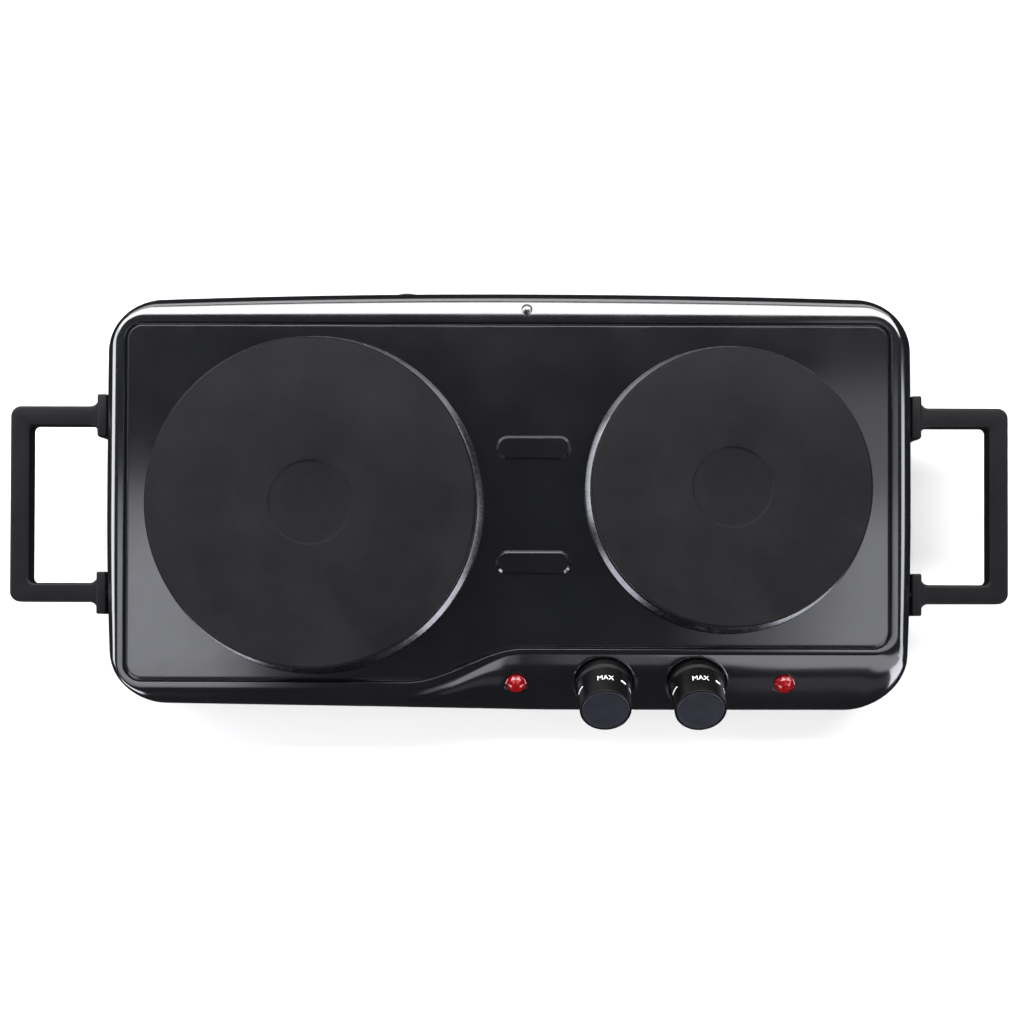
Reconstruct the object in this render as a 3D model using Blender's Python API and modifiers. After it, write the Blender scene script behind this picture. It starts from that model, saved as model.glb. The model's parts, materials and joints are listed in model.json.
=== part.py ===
"""A double electric hot plate: a pressed steel housing with two cast iron plates, two thermostat
knobs, two pilot lamps and two carrying handles.

Run with blender --background --python part.py, or from Blender's text editor. Units are metres and
+Z is up. X runs along the housing, the controls face -Y, and the rubber feet stand at Z = 0.
"""

import math

import bmesh
import bpy
from mathutils import Matrix, Vector

MM = 0.001
GAP = 0.4 * MM
CUT_MARGIN = 5 * MM

# Housing, measured from the middle of its outline.
HALF_WIDTH = 230.5 * MM
FRONT_Y = -118.7 * MM
REAR_Y = 121.2 * MM
CORNER_RADIUS = 31 * MM
# Shares by which the sides draw in towards the front and rear, and the rear edge towards its ends.
FRONT_TAPER = 0.016
REAR_TAPER = 0.003
REAR_BOW_LEFT = 0.031
REAR_BOW_RIGHT = 0.023
REAR_BOW_SPAN = 200 * MM
# The front edge stands back left of the controls, and more so towards the left corner.
SETBACK = 1.6 * MM
SETBACK_SLOPE = 0.014
SETBACK_START_X = -70 * MM
SETBACK_END_X = 30 * MM
FRONT_RIGHT_BOW = 0.3 * MM
FRONT_BOW_SPAN = 215 * MM
PANEL_Z = 56 * MM
SKIRT_Z = 10 * MM
SKIRT_FLARE = 0.8 * MM
SHEET = 1.2 * MM

# The flat field inside the rim, whose front edge steps back over the controls.
FIELD_HALF_WIDTH = 215 * MM
FIELD_REAR_Y = 99.4 * MM
FIELD_FRONT_LEFT_Y = -98.3 * MM
FIELD_FRONT_RIGHT_Y = -79.2 * MM
FIELD_RIGHT_SHARE = 0.9935
FIELD_CORNER_RADIUS = 7 * MM
SWEEP_START_X = -58 * MM
SWEEP_END_X = 8 * MM
SWEEP_STEPS = 7
APRON_START_X = -66 * MM
APRON_END_X = 4 * MM

# Rim rings outside the field: how far out, and how high over the panel. A drip groove, then a bead.
RIM_RINGS = (
    (0.0 * MM, 0.0 * MM),
    (1.2 * MM, 0.0 * MM),
    (2.4 * MM, -1.5 * MM),
    (3.6 * MM, 0.1 * MM),
    (6.4 * MM, 0.1 * MM),
)
RIM_WIDTH, RIM_RISE = RIM_RINGS[-1]
SHOULDER_DROP = 10.5 * MM
# The control apron from the rim to the front wall: share of the way out, and drop below the panel.
APRON_RINGS = (
    (0.06, 0.8 * MM),
    (0.2, 2.9 * MM),
    (0.38, 6.3 * MM),
    (0.56, 10.5 * MM),
    (0.74, 15.2 * MM),
    (0.9, 19.7 * MM),
    (0.97, 22.3 * MM),
    (1.0, 25.8 * MM),
)
FRONT_STATIONS = (-192, -130, -90)
FRONT_RIGHT_STATIONS = (50, 100, 150, 192)
REAR_STATIONS = (-185, -100, 0, 100, 185)
SIDE_STATIONS = (-60, 0, 60)
CORNER_STEPS = 5

# Raised pads between the plates.
PAD_X = 14 * MM
PAD_YS = (31.4 * MM, -33.7 * MM)
PAD_LENGTH = 42.7 * MM
PAD_WIDTH = 13.6 * MM
PAD_RISE = 1.3 * MM
PAD_EDGE = 0.5 * MM
PAD_OVERLAP = 0.1 * MM

# Controls, on the sloping apron.
APRON_TILT = math.radians(36)
CONTROL_Y = -100.7 * MM
CONTROL_Z = 44.7 * MM
KNOB_XS = {"left": 54.5 * MM, "right": 107.5 * MM}
LAMP_XS = {"left": 4.2 * MM, "right": 158 * MM}
RECESS_RADIUS = 17.4 * MM
RECESS_DEPTH = 1.5 * MM
RECESS_BACKING = 1.4 * MM
RECESS_WALL = 1.4 * MM
RECESS_LIMIT_DROP = 0.3 * MM
SPINDLE_RADIUS = 3 * MM
SPINDLE_HOLE_RADIUS = 4.2 * MM
LAMP_HOLE_RADIUS = 4.4 * MM
LAMP_BOSS_RADIUS = 6.9 * MM
LAMP_LIFT = 2.3 * MM
ARM_PIVOT_Y = 9 * MM
ARM_S = -20.1 * MM

# Cooking plates: centre, radius and centre recess radius.
PLATES = {
    "large": {"x": -109.7 * MM, "y": -1.4 * MM, "radius": 92 * MM, "recess": 23.5 * MM},
    "small": {"x": 124 * MM, "y": 7.6 * MM, "radius": 77.9 * MM, "recess": 22.4 * MM},
}
PLATE_TOP_Z = 74 * MM
PLATE_SEAT_Z = 62 * MM
PLATE_HOLE_INSET = 5 * MM
STUD_RADIUS = 3 * MM
TAB_XS = (-7 * MM, 7 * MM)
TAB_HALF_WIDTH = 3.2 * MM

# Handles.
HANDLE_REACH = 287.4 * MM
HANDLE_FLANGE_X = 231.5 * MM
HANDLE_FLANGE = 5.5 * MM
HANDLE_HALF_LENGTH = 56.5 * MM
HANDLE_BAR = 11.1 * MM
HANDLE_FLANGE_YS = (39 * MM, 63.3 * MM)
HANDLE_LOW_Z = 35.6 * MM
HANDLE_TOP_Z = 45.6 * MM
FLANGE_LOW_Z = 22 * MM
FLANGE_TOP_Z = 46.4 * MM
HANDLE_OUTER_RADIUS = 6 * MM
HANDLE_INNER_RADIUS = 3 * MM
HANDLE_FLARE_RADIUS = 4.6 * MM
HANDLE_EDGE = 1.4 * MM
HANDLE_SCREW_Y = 51 * MM
HANDLE_SCREW_Z = 40.6 * MM
HANDLE_HOLE_RADIUS = 2.2 * MM

# Base.
PAN_INSET = 3 * MM
PAN_FLOOR_Z = 9 * MM
PAN_SHEET = 1 * MM
PAN_WALL = 8 * MM
FOOT_XS = (-190 * MM, 190 * MM)
FOOT_YS = (-72 * MM, 85 * MM)
FOOT_HEIGHT = 8.6 * MM
POST_RADIUS = 4.5 * MM
VENT_COUNT = 6
VENT_PITCH = 12 * MM
VENT_SIZE = (5 * MM, 34 * MM)
VENT_CENTRES = ((-109.7 * MM, -1.4 * MM), (124 * MM, 7.6 * MM))

REAR_SCREW_X = 10 * MM
REAR_SCREW_Y = 110.2 * MM
REAR_SCREW_TILT = math.radians(-15)
GLAND_X = -60 * MM
GLAND_Z = 30 * MM
GLAND_BORE = 3.9 * MM
TERMINAL_Y = 92 * MM

TURN_STEPS = {"plate": 36, "shield": 20, "knob": 20, "small": 10}
WIRE_RADIUS = 1.1 * MM
MERGE = 0.00001

COLOURS = {
    "housing": ((0.012, 0.012, 0.014), 0.0, 0.32),
    "iron": ((0.028, 0.029, 0.032), 0.4, 0.55),
    "dark_trim": ((0.02, 0.02, 0.022), 0.3, 0.25),
    "handle": ((0.014, 0.014, 0.015), 0.0, 0.5),
    "knob": ((0.008, 0.008, 0.01), 0.0, 0.4),
    "cap": ((0.05, 0.055, 0.075), 0.2, 0.45),
    "lens": ((0.7, 0.01, 0.012), 0.0, 0.08),
    "steel": ((0.55, 0.55, 0.55), 1.0, 0.35),
    "zinc": ((0.6, 0.58, 0.5), 1.0, 0.4),
    "rubber": ((0.02, 0.02, 0.02), 0.0, 0.8),
    "ceramic": ((0.8, 0.78, 0.72), 0.0, 0.5),
    "brass": ((0.7, 0.5, 0.2), 1.0, 0.35),
    "nylon": ((0.75, 0.74, 0.7), 0.0, 0.5),
    "wire_red": ((0.35, 0.02, 0.02), 0.0, 0.5),
    "wire_blue": ((0.02, 0.06, 0.3), 0.0, 0.5),
    "wire_green": ((0.1, 0.3, 0.04), 0.0, 0.5),
}


def clear_scene():
    for obj in list(bpy.data.objects):
        bpy.data.objects.remove(obj, do_unlink=True)


def new_collection(name):
    collection = bpy.data.collections.new(name)
    bpy.context.scene.collection.children.link(collection)
    return collection


clear_scene()
PARTS = new_collection("double_hot_plate")
CUTTERS = new_collection("cutters")


def material(name):
    found = bpy.data.materials.get(name)
    if found:
        return found
    colour, metallic, roughness = COLOURS[name]
    made = bpy.data.materials.new(name)
    made.use_nodes = True
    shader = made.node_tree.nodes["Principled BSDF"]
    shader.inputs["Base Color"].default_value = (*colour, 1)
    shader.inputs["Metallic"].default_value = metallic
    shader.inputs["Roughness"].default_value = roughness
    return made


def empty(name, location=(0, 0, 0), rotation=(0, 0, 0), parent=None):
    made = bpy.data.objects.new(name, None)
    made.location = location
    made.rotation_euler = rotation
    made.parent = parent
    PARTS.objects.link(made)
    return made


ROOT = empty("hot_plate_frame")


def place(name, data, location=(0, 0, 0), parent=None, look=None, rotation=(0, 0, 0)):
    """An object that is a sub-part where it has a look, and a cutter where it has none."""
    made = bpy.data.objects.new(name, data)
    made.location = location
    made.rotation_euler = rotation
    made.parent = parent or ROOT
    if look is None:
        CUTTERS.objects.link(made)
        made.hide_render = True
        made.display_type = "WIRE"
        return made
    PARTS.objects.link(made)
    data.materials.append(material(look))
    return made


def mesh_from(bm, name):
    bmesh.ops.recalc_face_normals(bm, faces=bm.faces)
    mesh = bpy.data.meshes.new(name)
    bm.to_mesh(mesh)
    bm.free()
    return mesh


def box_mesh(name, boxes):
    """A mesh of boxes, each given by its lowest and highest corner."""
    bm = bmesh.new()
    for low, high in boxes:
        low = Vector(low)
        high = Vector(high)
        matrix = Matrix.Translation((low + high) / 2) @ Matrix.Diagonal((*(high - low), 1))
        bmesh.ops.create_cube(bm, size=1, matrix=matrix)
    return mesh_from(bm, name)


def rod_mesh(name, radius, low, high, centres=((0, 0),), steps=20):
    """A mesh of upright rods at the given centres."""
    bm = bmesh.new()
    for x, y in centres:
        bmesh.ops.create_cone(
            bm,
            cap_ends=True,
            segments=steps,
            radius1=radius,
            radius2=radius,
            depth=high - low,
            matrix=Matrix.Translation((x, y, (low + high) / 2)),
        )
    return mesh_from(bm, name)


def turned(name, profile, steps, look, location=(0, 0, 0), parent=None, closed=False, rotation=(0, 0, 0)):
    """A profile of (radius, height) points turned about its own Z, top to bottom down its outer side."""
    mesh = bpy.data.meshes.new(name)
    points = [(radius, 0, height) for radius, height in profile]
    edges = [(i, i + 1) for i in range(len(points) - 1)]
    if closed:
        edges.append((len(points) - 1, 0))
    mesh.from_pydata(points, edges, [])
    made = place(name, mesh, location, parent, look, rotation)
    screw = made.modifiers.new("Turn", "SCREW")
    screw.axis = "Z"
    screw.steps = steps
    screw.render_steps = steps
    screw.use_merge_vertices = True
    screw.merge_threshold = MERGE
    screw.use_smooth_shade = True
    return made


def scaled(points):
    return [(x * MM, y * MM) for x, y in points]


def boolean(obj, other, operation="DIFFERENCE"):
    modifier = obj.modifiers.new(other.name, "BOOLEAN")
    modifier.operation = operation
    modifier.object = other
    return modifier


def soften(obj, width, segments=1):
    bevel = obj.modifiers.new("Edge", "BEVEL")
    bevel.width = width
    bevel.segments = segments
    bevel.limit_method = "ANGLE"
    bevel.angle_limit = math.radians(40)


def flat_curve(name, outline, thickness, edge=0.0):
    """A flat outline with thickness, as a filled 2D curve with optionally rounded edges."""
    curve = bpy.data.curves.new(name, "CURVE")
    curve.dimensions = "2D"
    curve.fill_mode = "BOTH"
    curve.extrude = thickness / 2 - edge
    curve.bevel_depth = edge
    curve.bevel_resolution = 0
    curve.offset = -edge
    spline = curve.splines.new("POLY")
    spline.points.add(len(outline) - 1)
    for point, (x, y) in zip(spline.points, outline):
        point.co = (x, y, 0, 1)
    spline.use_cyclic_u = True
    return curve


def solid_from_curve(name, curve, look, location=(0, 0, 0), parent=None, rotation=(0, 0, 0)):
    """A curve's shape as a mesh object, so that it can take a Boolean."""
    guide = place(name + "_curve", curve, location, parent, None, rotation)
    bpy.context.view_layer.update()
    graph = bpy.context.evaluated_depsgraph_get()
    mesh = bpy.data.meshes.new_from_object(guide.evaluated_get(graph))
    bm = bmesh.new()
    bm.from_mesh(mesh)
    bmesh.ops.remove_doubles(bm, verts=bm.verts, dist=MERGE)
    bmesh.ops.recalc_face_normals(bm, faces=bm.faces)
    bm.to_mesh(mesh)
    bm.free()
    bpy.data.objects.remove(guide, do_unlink=True)
    mesh.name = name
    return place(name, mesh, location, parent, look, rotation)


def arc(centre_x, centre_y, radius, start, end, steps):
    """Points on an arc, its angles in degrees."""
    angles = [math.radians(start + (end - start) * i / steps) for i in range(steps + 1)]
    return [(centre_x + radius * math.cos(a), centre_y + radius * math.sin(a)) for a in angles]


def smooth(share):
    share = min(max(share, 0.0), 1.0)
    return share * share * (3 - 2 * share)


def front_xs():
    """Where along X the front edges of the field and the housing have their points."""
    sweep = SWEEP_END_X - SWEEP_START_X
    return (
        [x * MM for x in FRONT_STATIONS]
        + [SWEEP_START_X + sweep * i / SWEEP_STEPS for i in range(SWEEP_STEPS + 1)]
        + [x * MM for x in FRONT_RIGHT_STATIONS]
    )


def field_front(x):
    share = smooth((x - SWEEP_START_X) / (SWEEP_END_X - SWEEP_START_X))
    return FIELD_FRONT_LEFT_Y + (FIELD_FRONT_RIGHT_Y - FIELD_FRONT_LEFT_Y) * share


def rounded_loop(half_width, front, rear, radius):
    """A closed outline, counter-clockwise from the left end of its front edge."""
    inner = half_width - radius
    points = [(x, front(x)) for x in front_xs()]
    points += arc(inner, front(half_width) + radius, radius, -90, 0, CORNER_STEPS)
    points += [(half_width, y * MM) for y in SIDE_STATIONS]
    points += arc(inner, rear - radius, radius, 0, 90, CORNER_STEPS)
    points += [(x * MM, rear) for x in reversed(REAR_STATIONS)]
    points += arc(-inner, rear - radius, radius, 90, 180, CORNER_STEPS)
    points += [(-half_width, y * MM) for y in reversed(SIDE_STATIONS)]
    points += arc(-inner, front(-half_width) + radius, radius, 180, 270, CORNER_STEPS)
    return [Vector(point) for point in points]


def front_setback(x):
    """How far the front edge stands back from where it lies before the controls."""
    share = smooth((x - SETBACK_START_X) / (SETBACK_END_X - SETBACK_START_X))
    left = SETBACK - SETBACK_SLOPE * x
    right = FRONT_RIGHT_BOW * (x / FRONT_BOW_SPAN) ** 2
    return left + (right - left) * share


def rear_edge(x):
    bow = REAR_BOW_LEFT if x < 0 else REAR_BOW_RIGHT
    return REAR_Y * (1 - bow * (x / REAR_BOW_SPAN) ** 2)


def bowed(point):
    """The outline's edges bow outwards a little towards their middles."""
    x, y = point
    if y > 0:
        toward_rear = y / REAR_Y
        return Vector((x * (1 - REAR_TAPER * toward_rear**2), rear_edge(x) * toward_rear))
    toward_front = y / FRONT_Y
    return Vector((x * (1 - FRONT_TAPER * toward_front**2), y + front_setback(x) * toward_front))


def offset_loop(points, distance):
    """The outline moved outwards by a distance."""
    moved = []
    for i, point in enumerate(points):
        before = (point - points[i - 1]).normalized()
        after = (points[(i + 1) % len(points)] - point).normalized()
        normal = Vector((before.y + after.y, -before.x - after.x)).normalized()
        spread = max(normal.dot(Vector((after.y, -after.x))), 0.5)
        moved.append(point + normal * distance / spread)
    return moved


def field_outline():
    """The edge of the flat field, a little narrower on the right."""
    loop = rounded_loop(FIELD_HALF_WIDTH, field_front, FIELD_REAR_Y, FIELD_CORNER_RADIUS)
    return [Vector((x * FIELD_RIGHT_SHARE if x > 0 else x, y)) for x, y in loop]


def housing_outline():
    square = rounded_loop(HALF_WIDTH, lambda x: FRONT_Y, REAR_Y, CORNER_RADIUS)
    return [bowed(point) for point in square]


def apron_shares():
    """How much each outline point belongs to the control apron rather than to the round shoulder."""
    span = APRON_END_X - APRON_START_X
    shares = [smooth((x - APRON_START_X) / span) for x in front_xs()]
    shares += [1 - smooth(i / CORNER_STEPS) for i in range(CORNER_STEPS + 1)]
    return shares + [0.0] * (len(field_outline()) - len(shares))


def housing_rings():
    """Rings of points from the edge of the field out to the bottom of the skirt."""
    field = field_outline()
    outline = housing_outline()
    shares = apron_shares()
    rings = []
    for out, rise in RIM_RINGS:
        rings.append([(x, y, PANEL_Z + rise) for x, y in offset_loop(field, out)])
    start = [Vector(point) for point in rings[-1]]
    for i, (apron_out, apron_drop) in enumerate(APRON_RINGS, 1):
        angle = math.radians(90) * i / len(APRON_RINGS)
        ring = []
        for point, edge, share in zip(start, outline, shares):
            out = math.sin(angle) * (1 - share) + apron_out * share
            drop = SHOULDER_DROP * (1 - math.cos(angle)) * (1 - share) + apron_drop * share
            flat = point.xy.lerp(edge, out)
            ring.append((flat.x, flat.y, PANEL_Z + RIM_RISE - drop))
        rings.append(ring)
    rings.append([(x, y, SKIRT_Z) for x, y in offset_loop(outline, SKIRT_FLARE)])
    return rings


def loft_mesh(name, rings, capped=False):
    """A skin over the rings, closed by one flat face inside the first, and inside the last if capped."""
    bm = bmesh.new()
    loops = [[bm.verts.new(point) for point in ring] for ring in rings]
    bm.faces.new(loops[0])
    if capped:
        bm.faces.new(loops[-1])
    for inner, outer in zip(loops, loops[1:]):
        for i in range(len(inner)):
            j = (i + 1) % len(inner)
            bm.faces.new((inner[i], outer[i], outer[j], inner[j]))
    return mesh_from(bm, name)


def solidify(obj, thickness):
    shell = obj.modifiers.new("Sheet", "SOLIDIFY")
    shell.thickness = thickness
    shell.offset = -1
    shell.use_even_offset = True


def racetrack(x, y, length, width):
    radius = width / 2
    reach = length / 2 - radius
    return arc(x + reach, y, radius, -90, 90, 6) + arc(x - reach, y, radius, 90, 270, 6)


def control_empties():
    """A frame on the apron for each knob and lamp, whose Z is square to the apron."""
    places = {"knob_" + side: (x, 0) for side, x in KNOB_XS.items()}
    places.update({"lamp_" + side: (x, LAMP_LIFT) for side, x in LAMP_XS.items()})
    frames = {}
    for name, (x, lift) in places.items():
        location = (x, CONTROL_Y - lift * math.sin(APRON_TILT), CONTROL_Z + lift * math.cos(APRON_TILT))
        frames[name] = empty(name + "_axis", location, (APRON_TILT, 0, 0), ROOT)
    return frames


def rear_screw_height():
    """The height of the housing's shoulder at the rear screw."""
    start = FIELD_REAR_Y + RIM_WIDTH
    angle = math.asin((REAR_SCREW_Y - start) / (rear_edge(REAR_SCREW_X) - start))
    return PANEL_Z + RIM_RISE - SHOULDER_DROP * (1 - math.cos(angle))


def foot_centres():
    return [(x, y) for x in FOOT_XS for y in FOOT_YS]


def wall_y_at_gland():
    flare = SKIRT_FLARE * (PANEL_Z - SHOULDER_DROP - GLAND_Z) / (PANEL_Z - SHOULDER_DROP - SKIRT_Z)
    return rear_edge(GLAND_X) + flare


def add_housing(frames, rear_frame):
    housing = place("top_housing", loft_mesh("top_housing", housing_rings()), look="housing")
    solidify(housing, SHEET)
    for i, y in enumerate(PAD_YS):
        curve = flat_curve("pad", racetrack(PAD_X, y, PAD_LENGTH, PAD_WIDTH), PAD_RISE + SHEET, PAD_EDGE)
        middle = PANEL_Z + (PAD_RISE - SHEET) / 2 + PAD_OVERLAP
        pad = solid_from_curve(f"pad_form_{i}", curve, None, (0, 0, middle))
        boolean(housing, pad, "UNION")
    sunk = loft_mesh("recess_limit", housing_rings(), capped=True)
    limit = place("recess_limit", sunk, (0, 0, -RECESS_LIMIT_DROP))
    backing = rod_mesh("backing", RECESS_RADIUS + RECESS_WALL, -RECESS_DEPTH - RECESS_BACKING, CUT_MARGIN)
    recess = rod_mesh("recess", RECESS_RADIUS, -RECESS_DEPTH, CUT_MARGIN)
    shaft = rod_mesh("shaft_hole", SPINDLE_HOLE_RADIUS, -2 * CUT_MARGIN, CUT_MARGIN)
    lamp = rod_mesh("lamp_hole", LAMP_HOLE_RADIUS, -CUT_MARGIN, CUT_MARGIN)
    lamp_boss = rod_mesh("lamp_boss", LAMP_BOSS_RADIUS, -2 * SHEET, 0)
    lamp_flat = rod_mesh("lamp_flat", LAMP_BOSS_RADIUS + GAP, 0, CUT_MARGIN)
    for side in KNOB_XS:
        knob_frame = frames["knob_" + side]
        dish = place(side + "_dish", backing, parent=knob_frame)
        boolean(dish, limit, "INTERSECT")
        boolean(housing, dish, "UNION")
        boolean(housing, place(side + "_recess", recess, parent=knob_frame))
        boolean(housing, place(side + "_shaft_hole", shaft, parent=knob_frame))
        lamp_frame = frames["lamp_" + side]
        boolean(housing, place(side + "_lamp_flat", lamp_flat, parent=lamp_frame))
        boolean(housing, place(side + "_lamp_boss", lamp_boss, parent=lamp_frame), "UNION")
        boolean(housing, place(side + "_lamp_hole", lamp, parent=lamp_frame))
    posts = rod_mesh("posts", POST_RADIUS, SKIRT_Z + 0.6 * MM, PANEL_Z - SHEET / 2, foot_centres(), 12)
    boolean(housing, place("post_forms", posts), "UNION")
    bores = rod_mesh("post_bores", 1.8 * MM, 0, 24 * MM, foot_centres(), 12)
    boolean(housing, place("post_bore_forms", bores))
    for name, plate in PLATES.items():
        radius = plate["radius"] - PLATE_HOLE_INSET
        hole = rod_mesh(name + "_hole", radius, -CUT_MARGIN, CUT_MARGIN, steps=TURN_STEPS["plate"])
        boolean(housing, place(name + "_plate_hole", hole, (plate["x"], plate["y"], PANEL_Z)))
    screws = ((0, HANDLE_SCREW_Y), (0, -HANDLE_SCREW_Y))
    for side in (-1, 1):
        holes = rod_mesh("handle_holes", HANDLE_HOLE_RADIUS, -CUT_MARGIN, CUT_MARGIN, screws, 12)
        location = (side * HALF_WIDTH, 0, HANDLE_SCREW_Z)
        boolean(housing, place(f"handle_hole_{side}", holes, location, rotation=(0, math.radians(90), 0)))
    rear_hole = rod_mesh("rear_hole", 1.8 * MM, -CUT_MARGIN, CUT_MARGIN, steps=12)
    boolean(housing, place("rear_screw_hole", rear_hole, parent=rear_frame))
    gland_hole = rod_mesh("gland_hole", 6.4 * MM, -CUT_MARGIN, CUT_MARGIN)
    location = (GLAND_X, REAR_Y, GLAND_Z)
    boolean(housing, place("gland_wall_hole", gland_hole, location, rotation=(math.radians(90), 0, 0)))


def add_base_pan():
    outline = offset_loop(housing_outline(), -PAN_INSET)
    floor = offset_loop(outline, -2 * MM)
    levels = (
        [(x, y, PAN_FLOOR_Z) for x, y in floor],
        [(x, y, PAN_FLOOR_Z + 2 * MM) for x, y in outline],
        [(x, y, PAN_FLOOR_Z + PAN_WALL) for x, y in outline],
    )
    pan = place("base_pan", loft_mesh("base_pan", levels), look="zinc")
    solidify(pan, PAN_SHEET)
    boxes = []
    for x, y in VENT_CENTRES:
        for i in range(VENT_COUNT):
            middle = x + (i - (VENT_COUNT - 1) / 2) * VENT_PITCH
            low = (middle - VENT_SIZE[0] / 2, y - VENT_SIZE[1] / 2, 0)
            high = (middle + VENT_SIZE[0] / 2, y + VENT_SIZE[1] / 2, PAN_FLOOR_Z + CUT_MARGIN)
            boxes.append((low, high))
    boolean(pan, place("vent_forms", box_mesh("vents", boxes)))
    holes = rod_mesh("pan_holes", 2.2 * MM, 0, PAN_FLOOR_Z + CUT_MARGIN, foot_centres(), 12)
    boolean(pan, place("pan_hole_forms", holes))


def add_feet():
    foot = scaled([(2.1, 8.6), (9, 8.6), (10, 7.4), (10, 1.6), (9, 0), (4.2, 0), (4.2, 4.6), (2.1, 4.6)])
    screw = scaled([(0, 20), (1.5, 20), (1.5, 4.2), (3.4, 4.2), (3.6, 3.2), (2.6, 1.8), (0, 1.6)])
    names = ("left_front", "left_rear", "right_front", "right_rear")
    for name, (x, y) in zip(names, foot_centres()):
        turned("foot_" + name, foot, TURN_STEPS["small"], "rubber", (x, y, 0), closed=True)
        turned("base_screw_" + name, screw, TURN_STEPS["small"], "steel", (x, y, 0))


def plate_profile(radius, recess):
    """Half the section of a cast iron plate, in metres: top face, edge, locating lip and stud boss."""
    top = PLATE_TOP_Z
    seat = PLATE_SEAT_Z
    lip = radius - 7 * MM
    return [
        (0, top - 0.9 * MM),
        (recess - 0.9 * MM, top - 0.9 * MM),
        (recess, top),
        (radius - 1.3 * MM, top),
        (radius - 0.3 * MM, top - 0.4 * MM),
        (radius, top - 1.5 * MM),
        (radius - 0.6 * MM, seat + 1.4 * MM),
        (radius - 1.8 * MM, seat),
        (lip, seat),
        (lip - 0.5 * MM, seat - 8 * MM),
        (lip - 5.5 * MM, seat - 8 * MM),
        (lip - 6.5 * MM, seat + 1 * MM),
        (13.5 * MM, seat + 1 * MM),
        (12.5 * MM, seat - 6.5 * MM),
        (0, seat - 6.5 * MM),
    ]


def trim_profile(radius):
    """Half the section of the spill ring that a plate sits on."""
    inner = radius - 5.4 * MM
    low = PANEL_Z + 0.3 * MM
    high = PLATE_SEAT_Z - 0.3 * MM
    return [
        (inner, high),
        (radius + 1.2 * MM, high),
        (radius + 2.6 * MM, high - 0.8 * MM),
        (radius + 3.5 * MM, high - 2.4 * MM),
        (radius + 3.7 * MM, low),
        (radius + 2.6 * MM, low),
        (radius + 2.4 * MM, high - 2.2 * MM),
        (radius + 1.8 * MM, high - 1.4 * MM),
        (radius + 1 * MM, high - 1 * MM),
        (inner, high - 1 * MM),
    ]


def shield_profile(radius):
    outer = radius - 10 * MM
    high = 52.6 * MM
    return [
        (8 * MM, high - 2 * MM),
        (outer - 4 * MM, high - 2 * MM),
        (outer - 2 * MM, high),
        (outer, high),
        (outer, high - 0.8 * MM),
        (outer - 1.6 * MM, high - 0.8 * MM),
        (outer - 3.6 * MM, high - 2.8 * MM),
        (8 * MM, high - 2.8 * MM),
    ]


def clamp_outline(radius):
    """The side view of the clamp bar: a flat strip with ends raised to bear under the panel."""
    reach = radius + 8 * MM
    top = [(reach, 54.3 * MM), (radius - 2 * MM, 54.3 * MM), (radius - 10 * MM, 48.6 * MM)]
    under = [(radius - 9.3 * MM, 46.6 * MM), (radius - 1.3 * MM, 52.3 * MM), (reach, 52.3 * MM)]
    left_top = [(-x, z) for x, z in reversed(top)]
    left_under = [(-x, z) for x, z in reversed(under)]
    return top + left_top + left_under + under


def add_cooking_plate(name, plate):
    centre = (plate["x"], plate["y"], 0)
    radius = plate["radius"]
    turned(f"{name}_plate", plate_profile(radius, plate["recess"]), TURN_STEPS["plate"], "iron", centre)
    turned(f"{name}_trim_ring", trim_profile(radius), TURN_STEPS["plate"], "dark_trim", centre, closed=True)
    turned(f"{name}_heat_shield", shield_profile(radius), TURN_STEPS["shield"], "steel", centre, closed=True)
    curve = flat_curve(f"{name}_clamp_bar", clamp_outline(radius), 24 * MM)
    bar = solid_from_curve(f"{name}_clamp_bar", curve, "zinc", centre, rotation=(math.radians(90), 0, 0))
    bore = place(f"{name}_bar_hole", rod_mesh("bar_hole", 3.4 * MM, 40 * MM, 60 * MM, steps=16), centre)
    boolean(bar, bore)
    stud = rod_mesh(f"{name}_stud", STUD_RADIUS, 36 * MM, PLATE_SEAT_Z - 6.8 * MM, steps=16)
    place(f"{name}_stud", stud, centre, look="steel")
    hexagon = rod_mesh(f"{name}_nut", 5.8 * MM, 41.3 * MM, 46.3 * MM, steps=6)
    nut = place(f"{name}_nut", hexagon, centre, look="steel")
    nut_bore = rod_mesh("nut_bore", 3.3 * MM, 30 * MM, 60 * MM, steps=16)
    boolean(nut, place(f"{name}_nut_bore", nut_bore, centre))
    body = ((-13 * MM, -47 * MM, 40.4 * MM), (13 * MM, -33 * MM, 49.4 * MM))
    block = place(f"{name}_terminals", box_mesh(f"{name}_terminals", [body]), centre, look="ceramic")
    tabs = []
    for x in TAB_XS:
        low = (x - TAB_HALF_WIDTH, -40.5 * MM, 32.4 * MM)
        tabs.append((low, (x + TAB_HALF_WIDTH, -39.5 * MM, 42 * MM)))
    boolean(block, place(f"{name}_tab_forms", box_mesh(f"{name}_tabs", tabs), centre), "UNION")


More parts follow.
